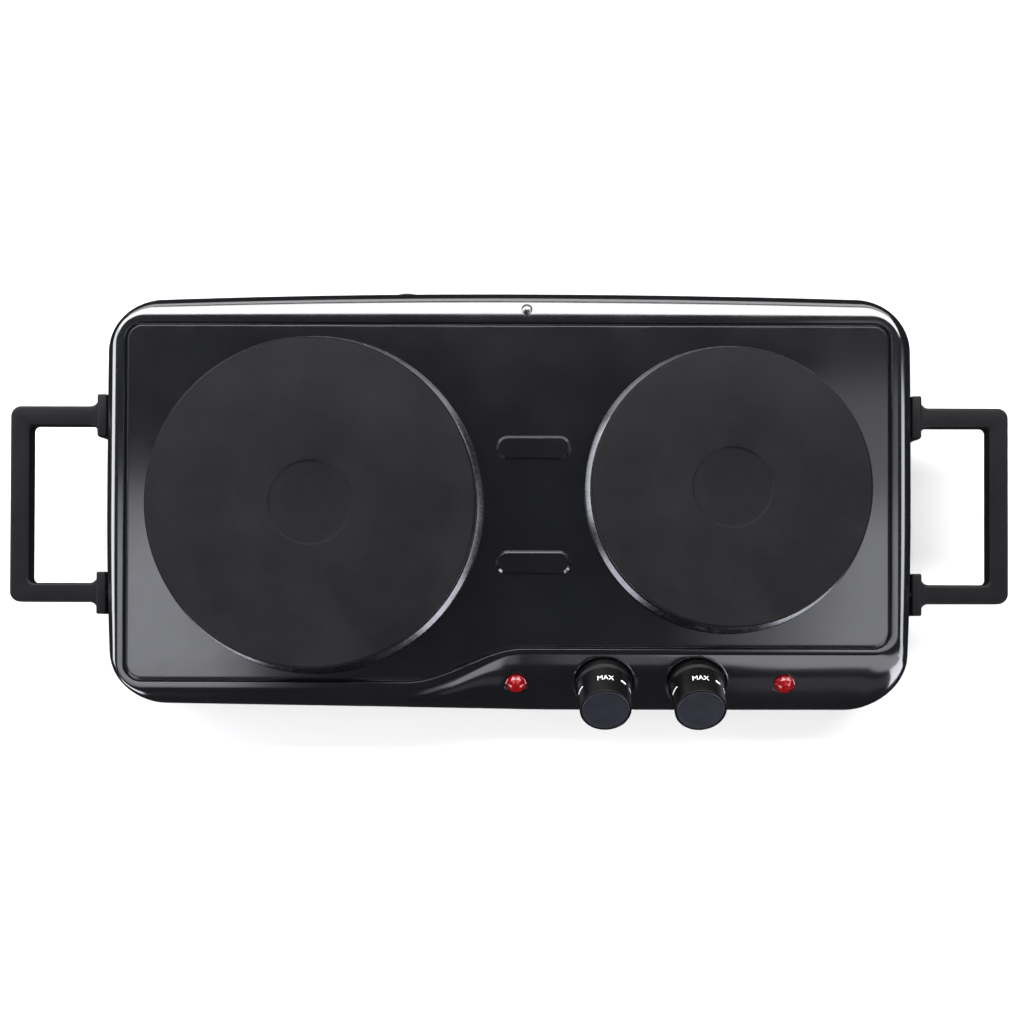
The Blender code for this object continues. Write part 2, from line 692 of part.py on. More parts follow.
def add_knob(side, frame):
    body = scaled([
        (0, 25.4), (13.7, 25.4), (13.7, 26.6), (14.1, 27), (14.5, 26.6), (15.1, 6.6), (15.4, 6),
        (16.2, 5.4), (16.2, -0.3), (15.6, -0.9), (3.4, -0.9), (3.4, 12.5), (0, 12.5),
    ])
    cap = scaled([(0, 26.9), (12.9, 26.9), (13.4, 26.5), (13.4, 25.7), (0, 25.7)])
    turned(f"{side}_knob", body, TURN_STEPS["knob"], "knob", parent=frame)
    turned(f"{side}_knob_cap", cap, TURN_STEPS["knob"], "cap", parent=frame)
    shaft = rod_mesh(f"{side}_spindle", SPINDLE_RADIUS, -19.3 * MM, 12 * MM, steps=16)
    spindle = place(f"{side}_spindle", shaft, parent=frame, look="steel")
    flat = box_mesh("flat", [((-5 * MM, 1.9 * MM, 1 * MM), (5 * MM, 5 * MM, 15 * MM))])
    boolean(spindle, place(f"{side}_spindle_flat", flat, parent=frame))


def add_thermostat(side, x):
    """The switch body behind a knob, with the leaf that the spindle pushes and the bimetal beside it."""
    frame = empty(f"{side}_thermostat_frame", (x, CONTROL_Y, CONTROL_Z), (APRON_TILT, 0, 0), ROOT)
    case = ((-12 * MM, -10 * MM, -18.2 * MM), (12 * MM, 10 * MM, -5.2 * MM))
    body = place(f"{side}_thermostat", box_mesh(f"{side}_thermostat", [case]), parent=frame, look="ceramic")
    stack = box_mesh("stack", [((-4 * MM, 9.5 * MM, -23.5 * MM), (4 * MM, 13 * MM, -14 * MM))])
    boolean(body, place(f"{side}_stack_form", stack, parent=frame), "UNION")
    bore = rod_mesh("thermostat_bore", SPINDLE_RADIUS + GAP, -30 * MM, 0, steps=16)
    boolean(body, place(f"{side}_thermostat_bore", bore, parent=frame))
    pivot = empty(f"{side}_arm_pivot", (0, ARM_PIVOT_Y, ARM_S), parent=frame)
    arm = box_mesh(f"{side}_contact_arm", [((-3.5 * MM, -18 * MM, -GAP), (3.5 * MM, 0, GAP))])
    place(f"{side}_contact_arm", arm, parent=pivot, look="brass")
    blade = box_mesh(f"{side}_bimetal", [((-3.5 * MM, -9 * MM, -23.2 * MM), (3.5 * MM, 9 * MM, -22.6 * MM))])
    place(f"{side}_bimetal", blade, parent=frame, look="steel")


def add_control_bracket():
    left = KNOB_XS["left"]
    right = KNOB_XS["right"]
    middle = (left + right) / 2
    frame = empty("bracket_frame", (middle, CONTROL_Y, CONTROL_Z), (APRON_TILT, 0, 0), ROOT)
    half = (right - left) / 2 + 18 * MM
    plate = box_mesh("control_bracket", [((-half, -13 * MM, -4.6 * MM), (half, 13 * MM, -3.4 * MM))])
    bracket = place("control_bracket", plate, parent=frame, look="zinc")
    centres = ((left - middle, 0), (right - middle, 0))
    holes = rod_mesh("bracket_holes", SPINDLE_HOLE_RADIUS, -10 * MM, 0, centres, 16)
    boolean(bracket, place("bracket_hole_forms", holes, parent=frame))


def add_lamp(side, frame):
    dome = [(0, 5.4), (2.4, 5), (4.3, 3.7), (5.3, 1.9), (5.5, 1.3)]
    lens = scaled(dome + [(6.1, 1.1), (6.1, 0.3), (4, 0.3), (4, -9), (0, -9)])
    turned(f"{side}_lamp_lens", lens, TURN_STEPS["small"], "lens", parent=frame)
    clip = scaled([(4.5, -2.8), (7.2, -2.8), (7.2, -4.4), (4.5, -4.4)])
    turned(f"{side}_lamp_clip", clip, TURN_STEPS["small"], "steel", parent=frame, closed=True)
    holder = scaled([(0, -9.3), (5, -9.3), (5, -18), (3, -19), (3, -23), (0, -23)])
    turned(f"{side}_lamp_holder", holder, TURN_STEPS["small"], "nylon", parent=frame)


def handle_outline():
    """The right handle seen from above, as a closed outline: half of it, then the same half mirrored."""
    inner_y = HANDLE_HALF_LENGTH - HANDLE_BAR
    inner_x = HANDLE_REACH - HANDLE_BAR
    face_x = HANDLE_FLANGE_X + HANDLE_FLANGE
    flare = HANDLE_FLARE_RADIUS
    outer = HANDLE_OUTER_RADIUS
    inner = HANDLE_INNER_RADIUS
    edge = [(HANDLE_FLANGE_X, HANDLE_FLANGE_YS[1])]
    edge += [(face_x, HANDLE_FLANGE_YS[1])]
    edge += arc(face_x + flare, HANDLE_HALF_LENGTH + flare, flare, 180, 270, 3)
    edge += arc(HANDLE_REACH - outer, HANDLE_HALF_LENGTH - outer, outer, 90, 0, 4)
    far_side = edge + [(x, -y) for x, y in reversed(edge)]
    opening = [(HANDLE_FLANGE_X, HANDLE_FLANGE_YS[0])]
    opening += [(face_x, HANDLE_FLANGE_YS[0])]
    opening += arc(face_x + flare, inner_y - flare, flare, 180, 90, 3)
    opening += arc(inner_x - inner, inner_y - inner, inner, 90, 0, 3)
    near_side = opening + [(x, -y) for x, y in reversed(opening)]
    return list(reversed(far_side + list(reversed(near_side))))


def add_handle(side, turn):
    frame = empty(f"{side}_handle_frame", (0, 0, 0), (0, 0, turn), ROOT)
    curve = flat_curve(f"{side}_handle", handle_outline(), HANDLE_TOP_Z - HANDLE_LOW_Z, HANDLE_EDGE)
    middle = (HANDLE_LOW_Z + HANDLE_TOP_Z) / 2
    handle = solid_from_curve(f"{side}_handle", curve, "handle", (0, 0, middle), frame)
    for sign in (-1, 1):
        ends = sorted(sign * y for y in HANDLE_FLANGE_YS)
        low = (HANDLE_FLANGE_X, ends[0], FLANGE_LOW_Z)
        high = (HANDLE_FLANGE_X + HANDLE_FLANGE + 0.2 * MM, ends[1], FLANGE_TOP_Z)
        flange = place(f"{side}_flange_form_{sign}", box_mesh("flange", [(low, high)]), parent=frame)
        soften(flange, 0.9 * MM)
        boolean(handle, flange, "UNION")
        where = (HANDLE_FLANGE_X, sign * HANDLE_SCREW_Y, HANDLE_SCREW_Z)
        across = (0, math.radians(90), 0)
        bore = rod_mesh("flange_bore", 1.9 * MM, -CUT_MARGIN, 9 * MM, steps=12)
        boolean(handle, place(f"{side}_flange_bore_{sign}", bore, where, frame, rotation=across))
        screw = scaled([(0, 8), (1.5, 8), (1.5, -3.6), (3.6, -3.6), (3.6, -5), (2.4, -6.2), (0, -6.2)])
        name = f"{side}_handle_screw_{'front' if sign * math.cos(turn) < 0 else 'rear'}"
        turned(name, screw, TURN_STEPS["small"], "steel", where, frame, rotation=across)


def add_rear_screw(frame):
    screw = scaled([(0, 1.5), (1.8, 1.4), (2.8, 0.9), (3.2, 0.3), (1.4, 0.3), (1.4, -8), (0, -8)])
    turned("rear_screw", screw, TURN_STEPS["small"], "steel", parent=frame)
    nut = scaled([(1.7, -2.2), (4.4, -2.2), (4.4, -4.4), (1.7, -4.4)])
    turned("rear_screw_nut", nut, 6, "steel", parent=frame, closed=True)


def add_cord_inlet():
    """The gland in the rear wall that takes the supply cord, and the terminal block behind it."""
    frame = empty("gland_axis", (GLAND_X, wall_y_at_gland(), GLAND_Z), (math.radians(-90), 0, 0), ROOT)
    bore = GLAND_BORE / MM
    gland = scaled([(bore, 3.4), (6.6, 3.4), (8.5, 2.4), (8.5, 0.5), (6, 0.5), (6, -7), (bore, -7)])
    turned("cord_gland", gland, TURN_STEPS["shield"], "rubber", parent=frame, closed=True)
    nut = scaled([(6.4, -1.8), (9.5, -1.8), (9.5, -4.8), (6.4, -4.8)])
    turned("gland_nut", nut, TURN_STEPS["small"], "nylon", parent=frame, closed=True)
    low = (GLAND_X - 20 * MM, TERMINAL_Y - 9 * MM, PAN_FLOOR_Z + PAN_SHEET + GAP)
    high = (GLAND_X + 20 * MM, TERMINAL_Y + 9 * MM, 25 * MM)
    block = place("terminal_block", box_mesh("terminal_block", [(low, high)]), look="nylon")
    slots = []
    for offset in (-12, 0, 12):
        middle = GLAND_X + offset * MM
        slots.append(
            (
                (middle - 3.5 * MM, TERMINAL_Y - 12 * MM, 20 * MM),
                (middle + 3.5 * MM, TERMINAL_Y + 12 * MM, 30 * MM),
            )
        )
    boolean(block, place("terminal_slots", box_mesh("terminal_slots", slots)))


def add_wires():
    """The inner wiring, laid through the free space over the base pan."""
    supply_left = [(-60, 80.6, 15), (-40, 55, 14), (0, 20, 14), (34, -30, 15), (50, -62, 20), (54.5, -74, 29)]
    supply_right = [(-48, 80.6, 15), (-20, 62, 14), (30, 40, 14), (74, -20, 15), (100, -58, 20)]
    supply_right += [(107.5, -74, 29)]
    plate_left = [(-72, 80.6, 15), (-92, 60, 14), (-114, 20, 14), (-118, -20, 16)]
    plate_left += [(-116.7, -41.4, 24), (-116.7, -41.4, 31.6)]
    plate_right = [(-39.4, 92, 15), (10, 74, 14), (70, 50, 14), (112, 10, 15), (117, -26, 22)]
    plate_right += [(117, -32.4, 31.6)]
    earth = [(-80.6, 92, 15), (-110, 92, 14), (-150, 80, 13), (-170, 60, 12)]
    routes = {
        "supply_wire_left": ("wire_red", supply_left),
        "supply_wire_right": ("wire_red", supply_right),
        "plate_wire_left": ("wire_blue", plate_left),
        "plate_wire_right": ("wire_blue", plate_right),
        "earth_wire": ("wire_green", earth),
    }
    for name, (look, route) in routes.items():
        points = catmull([Vector(point) * MM for point in route], 3)
        curve = bpy.data.curves.new(name, "CURVE")
        curve.dimensions = "3D"
        curve.bevel_depth = WIRE_RADIUS
        curve.bevel_resolution = 1
        curve.use_fill_caps = True
        spline = curve.splines.new("POLY")
        spline.points.add(len(points) - 1)
        for target, point in zip(spline.points, points):
            target.co = (*point, 1)
        place(name, curve, look=look)


def catmull(points, steps):
    """A smooth curve through the points."""
    ends = [2 * points[0] - points[1]] + points + [2 * points[-1] - points[-2]]
    found = []
    for a, b, c, d in zip(ends, ends[1:], ends[2:], ends[3:]):
        for i in range(steps):
            t = i / steps
            linear = (c - a) * t
            square = (2 * a - 5 * b + 4 * c - d) * t**2
            cube = (3 * b - a - 3 * c + d) * t**3
            found.append(0.5 * (2 * b + linear + square + cube))
    return found + [points[-1]]


def centre_in_plan():
    """Moves the whole object so that the middle of its box in plan is the origin."""
    bpy.context.view_layer.update()
    graph = bpy.context.evaluated_depsgraph_get()
    low = Vector((math.inf, math.inf))
    high = -low
    for obj in PARTS.objects:
        if obj.type == "EMPTY":
            continue
        evaluated = obj.evaluated_get(graph)
        mesh = evaluated.to_mesh()
        for vertex in mesh.vertices:
            point = evaluated.matrix_world @ vertex.co
            low = Vector(map(min, low, point.xy))
            high = Vector(map(max, high, point.xy))
        evaluated.to_mesh_clear()
    middle = (low + high) / 2
    ROOT.location = (-middle.x, -middle.y, 0)


def shade_smooth():
    for obj in PARTS.objects:
        if obj.type == "MESH":
            obj.data.shade_smooth()
            obj.data.set_sharp_from_angle(angle=math.radians(30))


def main():
    frames = control_empties()
    rear_place = (REAR_SCREW_X, REAR_SCREW_Y, rear_screw_height())
    rear_frame = empty("rear_screw_axis", rear_place, (REAR_SCREW_TILT, 0, 0), ROOT)
    add_housing(frames, rear_frame)
    add_base_pan()
    add_feet()
    for name, plate in PLATES.items():
        add_cooking_plate(name, plate)
    for side, x in KNOB_XS.items():
        add_knob(side, frames["knob_" + side])
        add_thermostat(side, x)
        add_lamp(side, frames["lamp_" + side])
    add_control_bracket()
    add_handle("right", 0)
    add_handle("left", math.radians(180))
    add_rear_screw(rear_frame)
    add_cord_inlet()
    add_wires()
    shade_smooth()
    centre_in_plan()


main()
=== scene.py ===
"""The looks of a double electric hot plate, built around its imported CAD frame.

Every visible piece is made here as a fine mesh: the pressed housing with its drip groove, bead and
control apron, the turned iron plates and their spill rings, the knobs, lamps, handles, feet and base.
Sizes are metres. The housing is drawn in its own plan frame, whose origin lies BODY_Y along +Y.
"""

import json
import math

import bmesh
import bpy
from mathutils import Matrix, Vector
from mathutils.bvhtree import BVHTree


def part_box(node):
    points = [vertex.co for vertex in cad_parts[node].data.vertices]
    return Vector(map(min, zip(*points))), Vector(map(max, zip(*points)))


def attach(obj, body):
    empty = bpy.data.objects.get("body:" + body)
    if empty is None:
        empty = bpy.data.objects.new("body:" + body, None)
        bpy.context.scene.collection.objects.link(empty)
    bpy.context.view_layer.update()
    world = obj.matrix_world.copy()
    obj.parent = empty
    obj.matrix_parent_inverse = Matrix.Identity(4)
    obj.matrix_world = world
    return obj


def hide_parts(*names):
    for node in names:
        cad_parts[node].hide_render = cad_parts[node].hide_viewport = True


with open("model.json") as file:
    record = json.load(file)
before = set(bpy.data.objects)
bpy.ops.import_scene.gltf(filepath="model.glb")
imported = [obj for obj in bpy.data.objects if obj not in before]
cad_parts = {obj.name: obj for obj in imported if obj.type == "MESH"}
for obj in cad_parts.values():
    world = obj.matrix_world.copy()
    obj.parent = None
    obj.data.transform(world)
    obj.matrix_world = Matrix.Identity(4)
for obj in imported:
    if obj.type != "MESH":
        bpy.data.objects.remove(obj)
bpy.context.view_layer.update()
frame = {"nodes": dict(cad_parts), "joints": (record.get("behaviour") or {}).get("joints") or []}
MM = 0.001
ROOT = "hot_plate"

# ---------------- driving sizes, from the frame

housing_low, housing_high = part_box("top_housing")
FLARE = 0.8 * MM
PAD_RISE = 1.4 * MM
SHEET = 1.2 * MM
HALF_WIDTH = housing_high.x - FLARE
REAR = 121.2 * MM
BODY_Y = housing_high.y - FLARE - REAR
FRONT = housing_low.y + FLARE - BODY_Y
PANEL = housing_high.z - PAD_RISE
SKIRT = housing_low.z
CORNER_RADIUS = 31 * MM
# Shares by which the sides draw in towards the front and rear, and the rear edge towards its ends.
FRONT_TAPER = 0.016
REAR_TAPER = 0.003
REAR_BOW_LEFT = 0.031
REAR_BOW_RIGHT = 0.023
REAR_BOW_SPAN = 200 * MM
# The front edge stands back left of the controls, and more so towards the left corner.
SETBACK = 1.6 * MM
SETBACK_SLOPE = 0.014
SETBACK_SWEEP = (-70 * MM, 30 * MM)
FRONT_RIGHT_BOW = 0.3 * MM
FRONT_BOW_SPAN = 215 * MM

# The flat field inside the rim. Its front edge steps back over the controls.
FIELD_HALF_WIDTH = HALF_WIDTH - 15.5 * MM
FIELD_RIGHT_SHARE = 0.9935
FIELD_REAR = REAR - 21.8 * MM
FIELD_FRONT_LEFT = FRONT + 20.4 * MM
FIELD_FRONT_RIGHT = FRONT + 39.5 * MM
FIELD_RADIUS = 7 * MM
SWEEP = (-58 * MM, 8 * MM)
APRON_SWEEP = (-66 * MM, 4 * MM)
# Out from the field, rise over the panel and fillet: drip groove, bead, start of the shoulder.
RIM = (
    (0, 0, 0), (1.2, 0, 0.15), (2.4, -1.7, 0.1), (3.6, 0.1, 0.15), (6.4, 0.1, 0),
)
RIM_ARC_STEPS = 4
SHOULDER_DROP = 10.5 * MM
SHOULDER_STEPS = 32
# Share of the way out and drop below the rim along the control apron.
APRON = (
    (0, 0), (0.06, 0.8 * MM), (0.2, 2.9 * MM), (0.38, 6.3 * MM), (0.56, 10.5 * MM),
    (0.74, 15.2 * MM), (0.9, 19.7 * MM), (0.97, 22.3 * MM), (1, 25.8 * MM),
)
FRONT_STATIONS = 176
SIDE_STATIONS = 40
REAR_STATIONS = 90
CORNER_STEPS = 14

PAD_X = 14 * MM
PAD_YS = (31.4 * MM, -33.7 * MM)
PAD_LENGTH = 42.7 * MM
PAD_WIDTH = 13.6 * MM
# Inset and rise of the pads' stepped edge: a foot slope, a steep wall and a top slope.
PAD_PROFILE = ((0, 0, 0), (0.4, 0.36, 0.04), (0.95, 1.04, 0.04), (1.35, 1.4, 0.08), (1.5, 1.4, 0))
PAD_MARGIN = 1.2 * MM

TURNS = {joint["child"]: joint for joint in frame["joints"]}
DIAL_BASE = Vector(TURNS["left_dial"]["pos_m"])
DIAL_AXIS = Vector(TURNS["left_dial"]["axis"])
TILT = math.atan2(-DIAL_AXIS.y, DIAL_AXIS.z)
SIDES = ("left", "right")
PLATES = ("large", "small")
CORNERS = ("left_front", "left_rear", "right_front", "right_rear")
KNOB_XS = {side: TURNS[side + "_dial"]["pos_m"][0] for side in SIDES}
RECESS_RADIUS = 17.4 * MM
RECESS_DEPTH = 1.5 * MM
RECESS_ROLL = 0.6 * MM
LAMP_LIFT = 2.3 * MM
REAR_SCREW_Y = 110.2 * MM
REAR_SCREW_Z = 55.662 * MM
REAR_SCREW_LEAN = math.radians(-15)
UPRIGHT = math.radians(90)


def middle_of(node):
    low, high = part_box(node)
    return (low + high) / 2


LAMP_XS = {side: middle_of(side + "_lamp_lens").x for side in SIDES}


# ---------------- mesh helpers


def finished(name, mesh, look, body=ROOT, node=None, matrix=None, sharp=38):
    """An object from a mesh, placed, shaded, given its material and set to ride on a body."""
    obj = bpy.data.objects.new(name, mesh)
    bpy.context.scene.collection.objects.link(obj)
    if matrix is not None:
        obj.matrix_world = matrix
    mesh.materials.clear()
    mesh.materials.append(look)
    mesh.shade_smooth()
    mesh.set_sharp_from_angle(angle=math.radians(sharp))
    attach(obj, body)
    if node:
        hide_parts(node)


def mesh_of(bm, name):
    bmesh.ops.recalc_face_normals(bm, faces=bm.faces)
    mesh = bpy.data.meshes.new(name)
    bm.to_mesh(mesh)
    bm.free()
    return mesh


def helper(name, mesh, matrix=None):
    """An object that only serves to make a mesh."""
    obj = bpy.data.objects.new(name, mesh)
    if matrix is not None:
        obj.matrix_world = matrix
    bpy.context.scene.collection.objects.link(obj)
    return obj


def shown(obj):
    """The mesh that a helper shows with its modifiers. The helper is then removed."""
    bpy.context.view_layer.update()
    graph = bpy.context.evaluated_depsgraph_get()
    mesh = bpy.data.meshes.new_from_object(obj.evaluated_get(graph))
    bpy.data.objects.remove(obj, do_unlink=True)
    return mesh


def carved(name, mesh, operations):
    """A mesh after Boolean operations, each given as (operation, mesh, matrix)."""
    base = helper(name, mesh)
    tools = []
    for operation, other, matrix in operations:
        tool = helper(name + "_tool", other, matrix)
        tools.append(tool)
        modifier = base.modifiers.new("step", "BOOLEAN")
        modifier.operation = operation
        modifier.object = tool
        modifier.solver = "EXACT"
    result = shown(base)
    for tool in tools:
        bpy.data.objects.remove(tool, do_unlink=True)
    return result


def joined(name, meshes):
    """One mesh from several."""
    bm = bmesh.new()
    for mesh in meshes:
        bm.from_mesh(mesh)
    return mesh_of(bm, name)


ARC_STEPS = 5


def rounded(corners, steps=ARC_STEPS):
    """A profile of points from (x, y, radius) corners, each corner with a radius made an arc."""
    points = []
    for i, (x, y, radius) in enumerate(corners):
        corner = Vector((x, y))
        if not radius:
            points.append(corner)
            continue
        before = Vector(corners[i - 1][:2]) - corner
        after = Vector(corners[(i + 1) % len(corners)][:2]) - corner
        half = before.angle(after) / 2
        reach = min(radius / math.tan(half), before.length * 0.49, after.length * 0.49)
        radius = reach * math.tan(half)
        centre = corner + (before.normalized() + after.normalized()).normalized() * radius / math.sin(half)
        first = corner + before.normalized() * reach - centre
        last = corner + after.normalized() * reach - centre
        turn = first.angle_signed(last)
        for k in range(steps + 1):
            points.append(centre + Matrix.Rotation(-turn * k / steps, 2) @ first)
    return points


def in_metres(corners):
    """Profile corners given in millimetres, in metres."""
    return [tuple(value * MM for value in corner) for corner in corners]


def turned(corners, closed=False, steps=128):
    """Corners (radius, height, fillet) in millimetres, turned about Z. A point on the axis is a pole."""
    bm = bmesh.new()
    angles = [2 * math.pi * i / steps for i in range(steps)]
    rings = []
    for radius, height in rounded(in_metres(corners)):
        if radius < 0.0001 * MM:
            rings.append([bm.verts.new((0, 0, height))])
        else:
            rings.append([bm.verts.new((radius * math.cos(a), radius * math.sin(a), height)) for a in angles])
    pairs = list(zip(rings, rings[1:]))
    if closed:
        pairs.append((rings[-1], rings[0]))
    for upper, lower in pairs:
        for i in range(steps):
            j = (i + 1) % steps
            upper_pair = (upper[i % len(upper)], upper[j % len(upper)])
            lower_pair = (lower[j % len(lower)], lower[i % len(lower)])
            face = list(dict.fromkeys(upper_pair + lower_pair))
            if len(face) > 2:
                bm.faces.new(face)
    return mesh_of(bm, "turned")


def cylinder(radius, low, high, steps):
    bm = bmesh.new()
    place = Matrix.Translation((0, 0, (low + high) / 2))
    shape = {"segments": steps, "radius1": radius, "radius2": radius, "depth": high - low}
    bmesh.ops.create_cone(bm, cap_ends=True, matrix=place, **shape)
    return mesh_of(bm, "cylinder")


def block(low, high, edge=0.0):
    """A box between two corners, its edges rounded if edge is given."""
    bm = bmesh.new()
    low = Vector(low)
    high = Vector(high)
    place = Matrix.Translation((low + high) / 2)
    bmesh.ops.create_cube(bm, size=1, matrix=place @ Matrix.Diagonal((*(high - low), 1)))
    if edge:
        bmesh.ops.bevel(bm, geom=bm.edges[:], offset=edge, segments=4, profile=0.5, affect="EDGES")
    return mesh_of(bm, "block")


def smooth(share):
    share = min(max(share, 0.0), 1.0)
    return share * share * (3 - 2 * share)


def arc(x, y, radius, start, end, steps):
    """Points on an arc, its angles in degrees."""
    angles = [math.radians(start + (end - start) * i / steps) for i in range(steps + 1)]
    return [(x + radius * math.cos(a), y + radius * math.sin(a)) for a in angles]


def spread(low, high, count):
    return [low + (high - low) * i / (count - 1) for i in range(count)]


# ---------------- materials


class Look:
    """A node-built material on one Principled shader, with its pattern in object space."""

    def __init__(self, name):
        self.material = bpy.data.materials.new(name)
        self.material.use_nodes = True
        self.tree = self.material.node_tree
        self.shader = self.tree.nodes["Principled BSDF"]
        self.place = self.node("ShaderNodeTexCoord").outputs["Object"]

    def node(self, kind, **settings):
        made = self.tree.nodes.new(kind)
        for key, value in settings.items():
            setattr(made, key, value)
        return made

    def link(self, source, target):
        self.tree.links.new(source, target)

    def set(self, **values):
        for key, value in values.items():
            self.shader.inputs[key.replace("_", " ")].default_value = value

    def noise(self, scale, detail=3.0, roughness=0.55):
        made = self.node("ShaderNodeTexNoise")
        made.inputs["Scale"].default_value = scale
        made.inputs["Detail"].default_value = detail
        made.inputs["Roughness"].default_value = roughness
        self.link(self.place, made.inputs["Vector"])
        return made.outputs["Fac"]

    def math(self, operation, *values):
        made = self.node("ShaderNodeMath", operation=operation)
        for socket, value in zip(made.inputs, values):
            if isinstance(value, (int, float)):
                socket.default_value = value
            else:
                self.link(value, socket)
        return made.outputs["Value"]

    def rings(self, pitch, wobble=0.0):
        """Turned lines round the object's Z axis, from 0 to 1."""
        flat = self.node("ShaderNodeVectorMath", operation="MULTIPLY")
        flat.inputs[1].default_value = (1, 1, 0)
        self.link(self.place, flat.inputs[0])
        length = self.node("ShaderNodeVectorMath", operation="LENGTH")
        self.link(flat.outputs["Vector"], length.inputs[0])
        distance = length.outputs["Value"]
        if wobble:
            distance = self.math("ADD", distance, self.math("MULTIPLY", self.noise(40), wobble))
        wave = self.math("SINE", self.math("MULTIPLY", distance, 2 * math.pi / pitch))
        return self.math("MULTIPLY_ADD", wave, 0.5, 0.5)

    def colour(self, source, *stops):
        """The base colour runs between two (position, colour) stops."""
        made = self.node("ShaderNodeValToRGB")
        for element, (position, colour) in zip(made.color_ramp.elements, stops):
            element.position = position
            element.color = (*colour, 1)
        self.link(source, made.inputs["Fac"])
        self.link(made.outputs["Color"], self.shader.inputs["Base Color"])

    def shades(self, source, tone, dark, light, last=0.7):
        """A tone that runs from a darker share of itself to a lighter one."""
        low = tuple(dark * c for c in tone)
        high = tuple(light * c for c in tone)
        self.colour(source, (0.3, low), (last, high))

    def roughness(self, source, low, high):
        """Roughness runs from low to high over the middle of the source's range."""
        made = self.node("ShaderNodeMapRange")
        for socket, value in zip(made.inputs[1:5], (0.3, 0.7, low, high)):
            socket.default_value = value
        self.link(source, made.inputs["Value"])
        self.link(made.outputs["Result"], self.shader.inputs["Roughness"])

    def bump(self, source, strength, distance):
        made = self.node("ShaderNodeBump")
        made.inputs["Strength"].default_value = strength
        made.inputs["Distance"].default_value = distance
        self.link(source, made.inputs["Height"])
        if self.shader.inputs["Normal"].is_linked:
            self.link(self.shader.inputs["Normal"].links[0].from_socket, made.inputs["Normal"])
        self.link(made.outputs["Normal"], self.shader.inputs["Normal"])


def enamel(name, tone, roughness, orange_peel):
    """Black stoved enamel: nearly black, smooth, with a faint orange peel and a little dust."""
    look = Look(name)
    look.shades(look.noise(9, 4), tone, 0.7, 1.5)
    look.roughness(look.noise(26, 5), roughness * 0.85, roughness * 1.2)
    look.bump(look.noise(420, 2), orange_peel, 0.00012)
    look.set(IOR=1.6, Specular_IOR_Level=1.0)
    return look.material


def cast_iron(name, tone, roughness, pitch):
    """Blackened cast iron with fine turned lines and a slightly mottled coating."""
    look = Look(name)
    lines = look.rings(pitch, 0.00015)
    grain = look.noise(900, 3, 0.7)
    mottle = look.noise(22, 5, 0.6)
    mixed = look.math("ADD", look.math("MULTIPLY", lines, 0.22), look.math("MULTIPLY", mottle, 0.78))
    look.shades(mixed, tone, 0.62, 1.45, last=0.72)
    coarse = look.math("ADD", look.math("MULTIPLY", grain, 0.5), look.math("MULTIPLY", mottle, 0.5))
    look.roughness(coarse, roughness * 0.85, roughness * 1.15)
    look.bump(grain, 0.25, 0.00006)
    look.bump(lines, 0.35, 0.00005)
    look.set(Specular_IOR_Level=0.09)
    return look.material


def moulded(name, tone, roughness, grain=1400, strength=0.12, specular=0.5):
    """Moulded heat-proof plastic with a fine spark-eroded grain."""
    look = Look(name)
    look.shades(look.noise(14, 4), tone, 0.75, 1.3)
    look.roughness(look.noise(60, 4), roughness * 0.9, roughness * 1.12)
    look.bump(look.noise(grain, 2), strength, 0.00008)
    look.set(Specular_IOR_Level=specular)
    return look.material


def metal(name, tone, roughness, scale=60, strength=0.05):
    """Plated or bare metal with fine drawing marks and slight tarnish."""
    look = Look(name)
    look.shades(look.noise(scale, 5), tone, 0.72, 1.0, last=0.68)
    marks = look.noise(scale * 9, 3, 0.6)
    look.roughness(marks, roughness * 0.8, roughness * 1.25)
    look.bump(marks, strength, 0.00005)
    look.set(Metallic=1.0)
    return look.material


def galvanised(name):
    """Zinc-coated sheet with its faint crystal pattern."""
    look = Look(name)
    cells = look.node("ShaderNodeTexVoronoi")
    cells.inputs["Scale"].default_value = 130
    look.link(look.place, cells.inputs["Vector"])
    spangle = cells.outputs["Color"]
    look.colour(spangle, (0.1, (0.36, 0.37, 0.38)), (0.9, (0.56, 0.57, 0.58)))
    look.roughness(look.noise(240, 3), 0.34, 0.5)
    look.bump(look.noise(700, 2), 0.05, 0.00004)
    look.set(Metallic=1.0)
    return look.material


def red_glass(name):
    """The clear red plastic of a pilot lamp."""
    look = Look(name)
    look.colour(look.noise(160, 2), (0.3, (0.11, 0.001, 0.002)), (0.7, (0.19, 0.003, 0.004)))
    look.roughness(look.noise(300, 2), 0.05, 0.09)
    look.bump(look.noise(500, 1), 0.02, 0.00004)
    look.set(IOR=1.5, Transmission_Weight=0.2, Coat_Weight=0.25, Coat_Roughness=0.03)
    return look.material


def spun_disc(name, tone):
    """The knob's inlaid disc: dark blue-black anodised sheet with spun lines."""
    look = Look(name)
    lines = look.rings(0.0004)
    look.shades(look.noise(90, 4), tone, 0.8, 1.25)
    look.roughness(look.noise(300, 3), 0.38, 0.5)
    look.bump(lines, 0.12, 0.00002)
    look.set(IOR=1.6, Specular_IOR_Level=0.3)
    return look.material


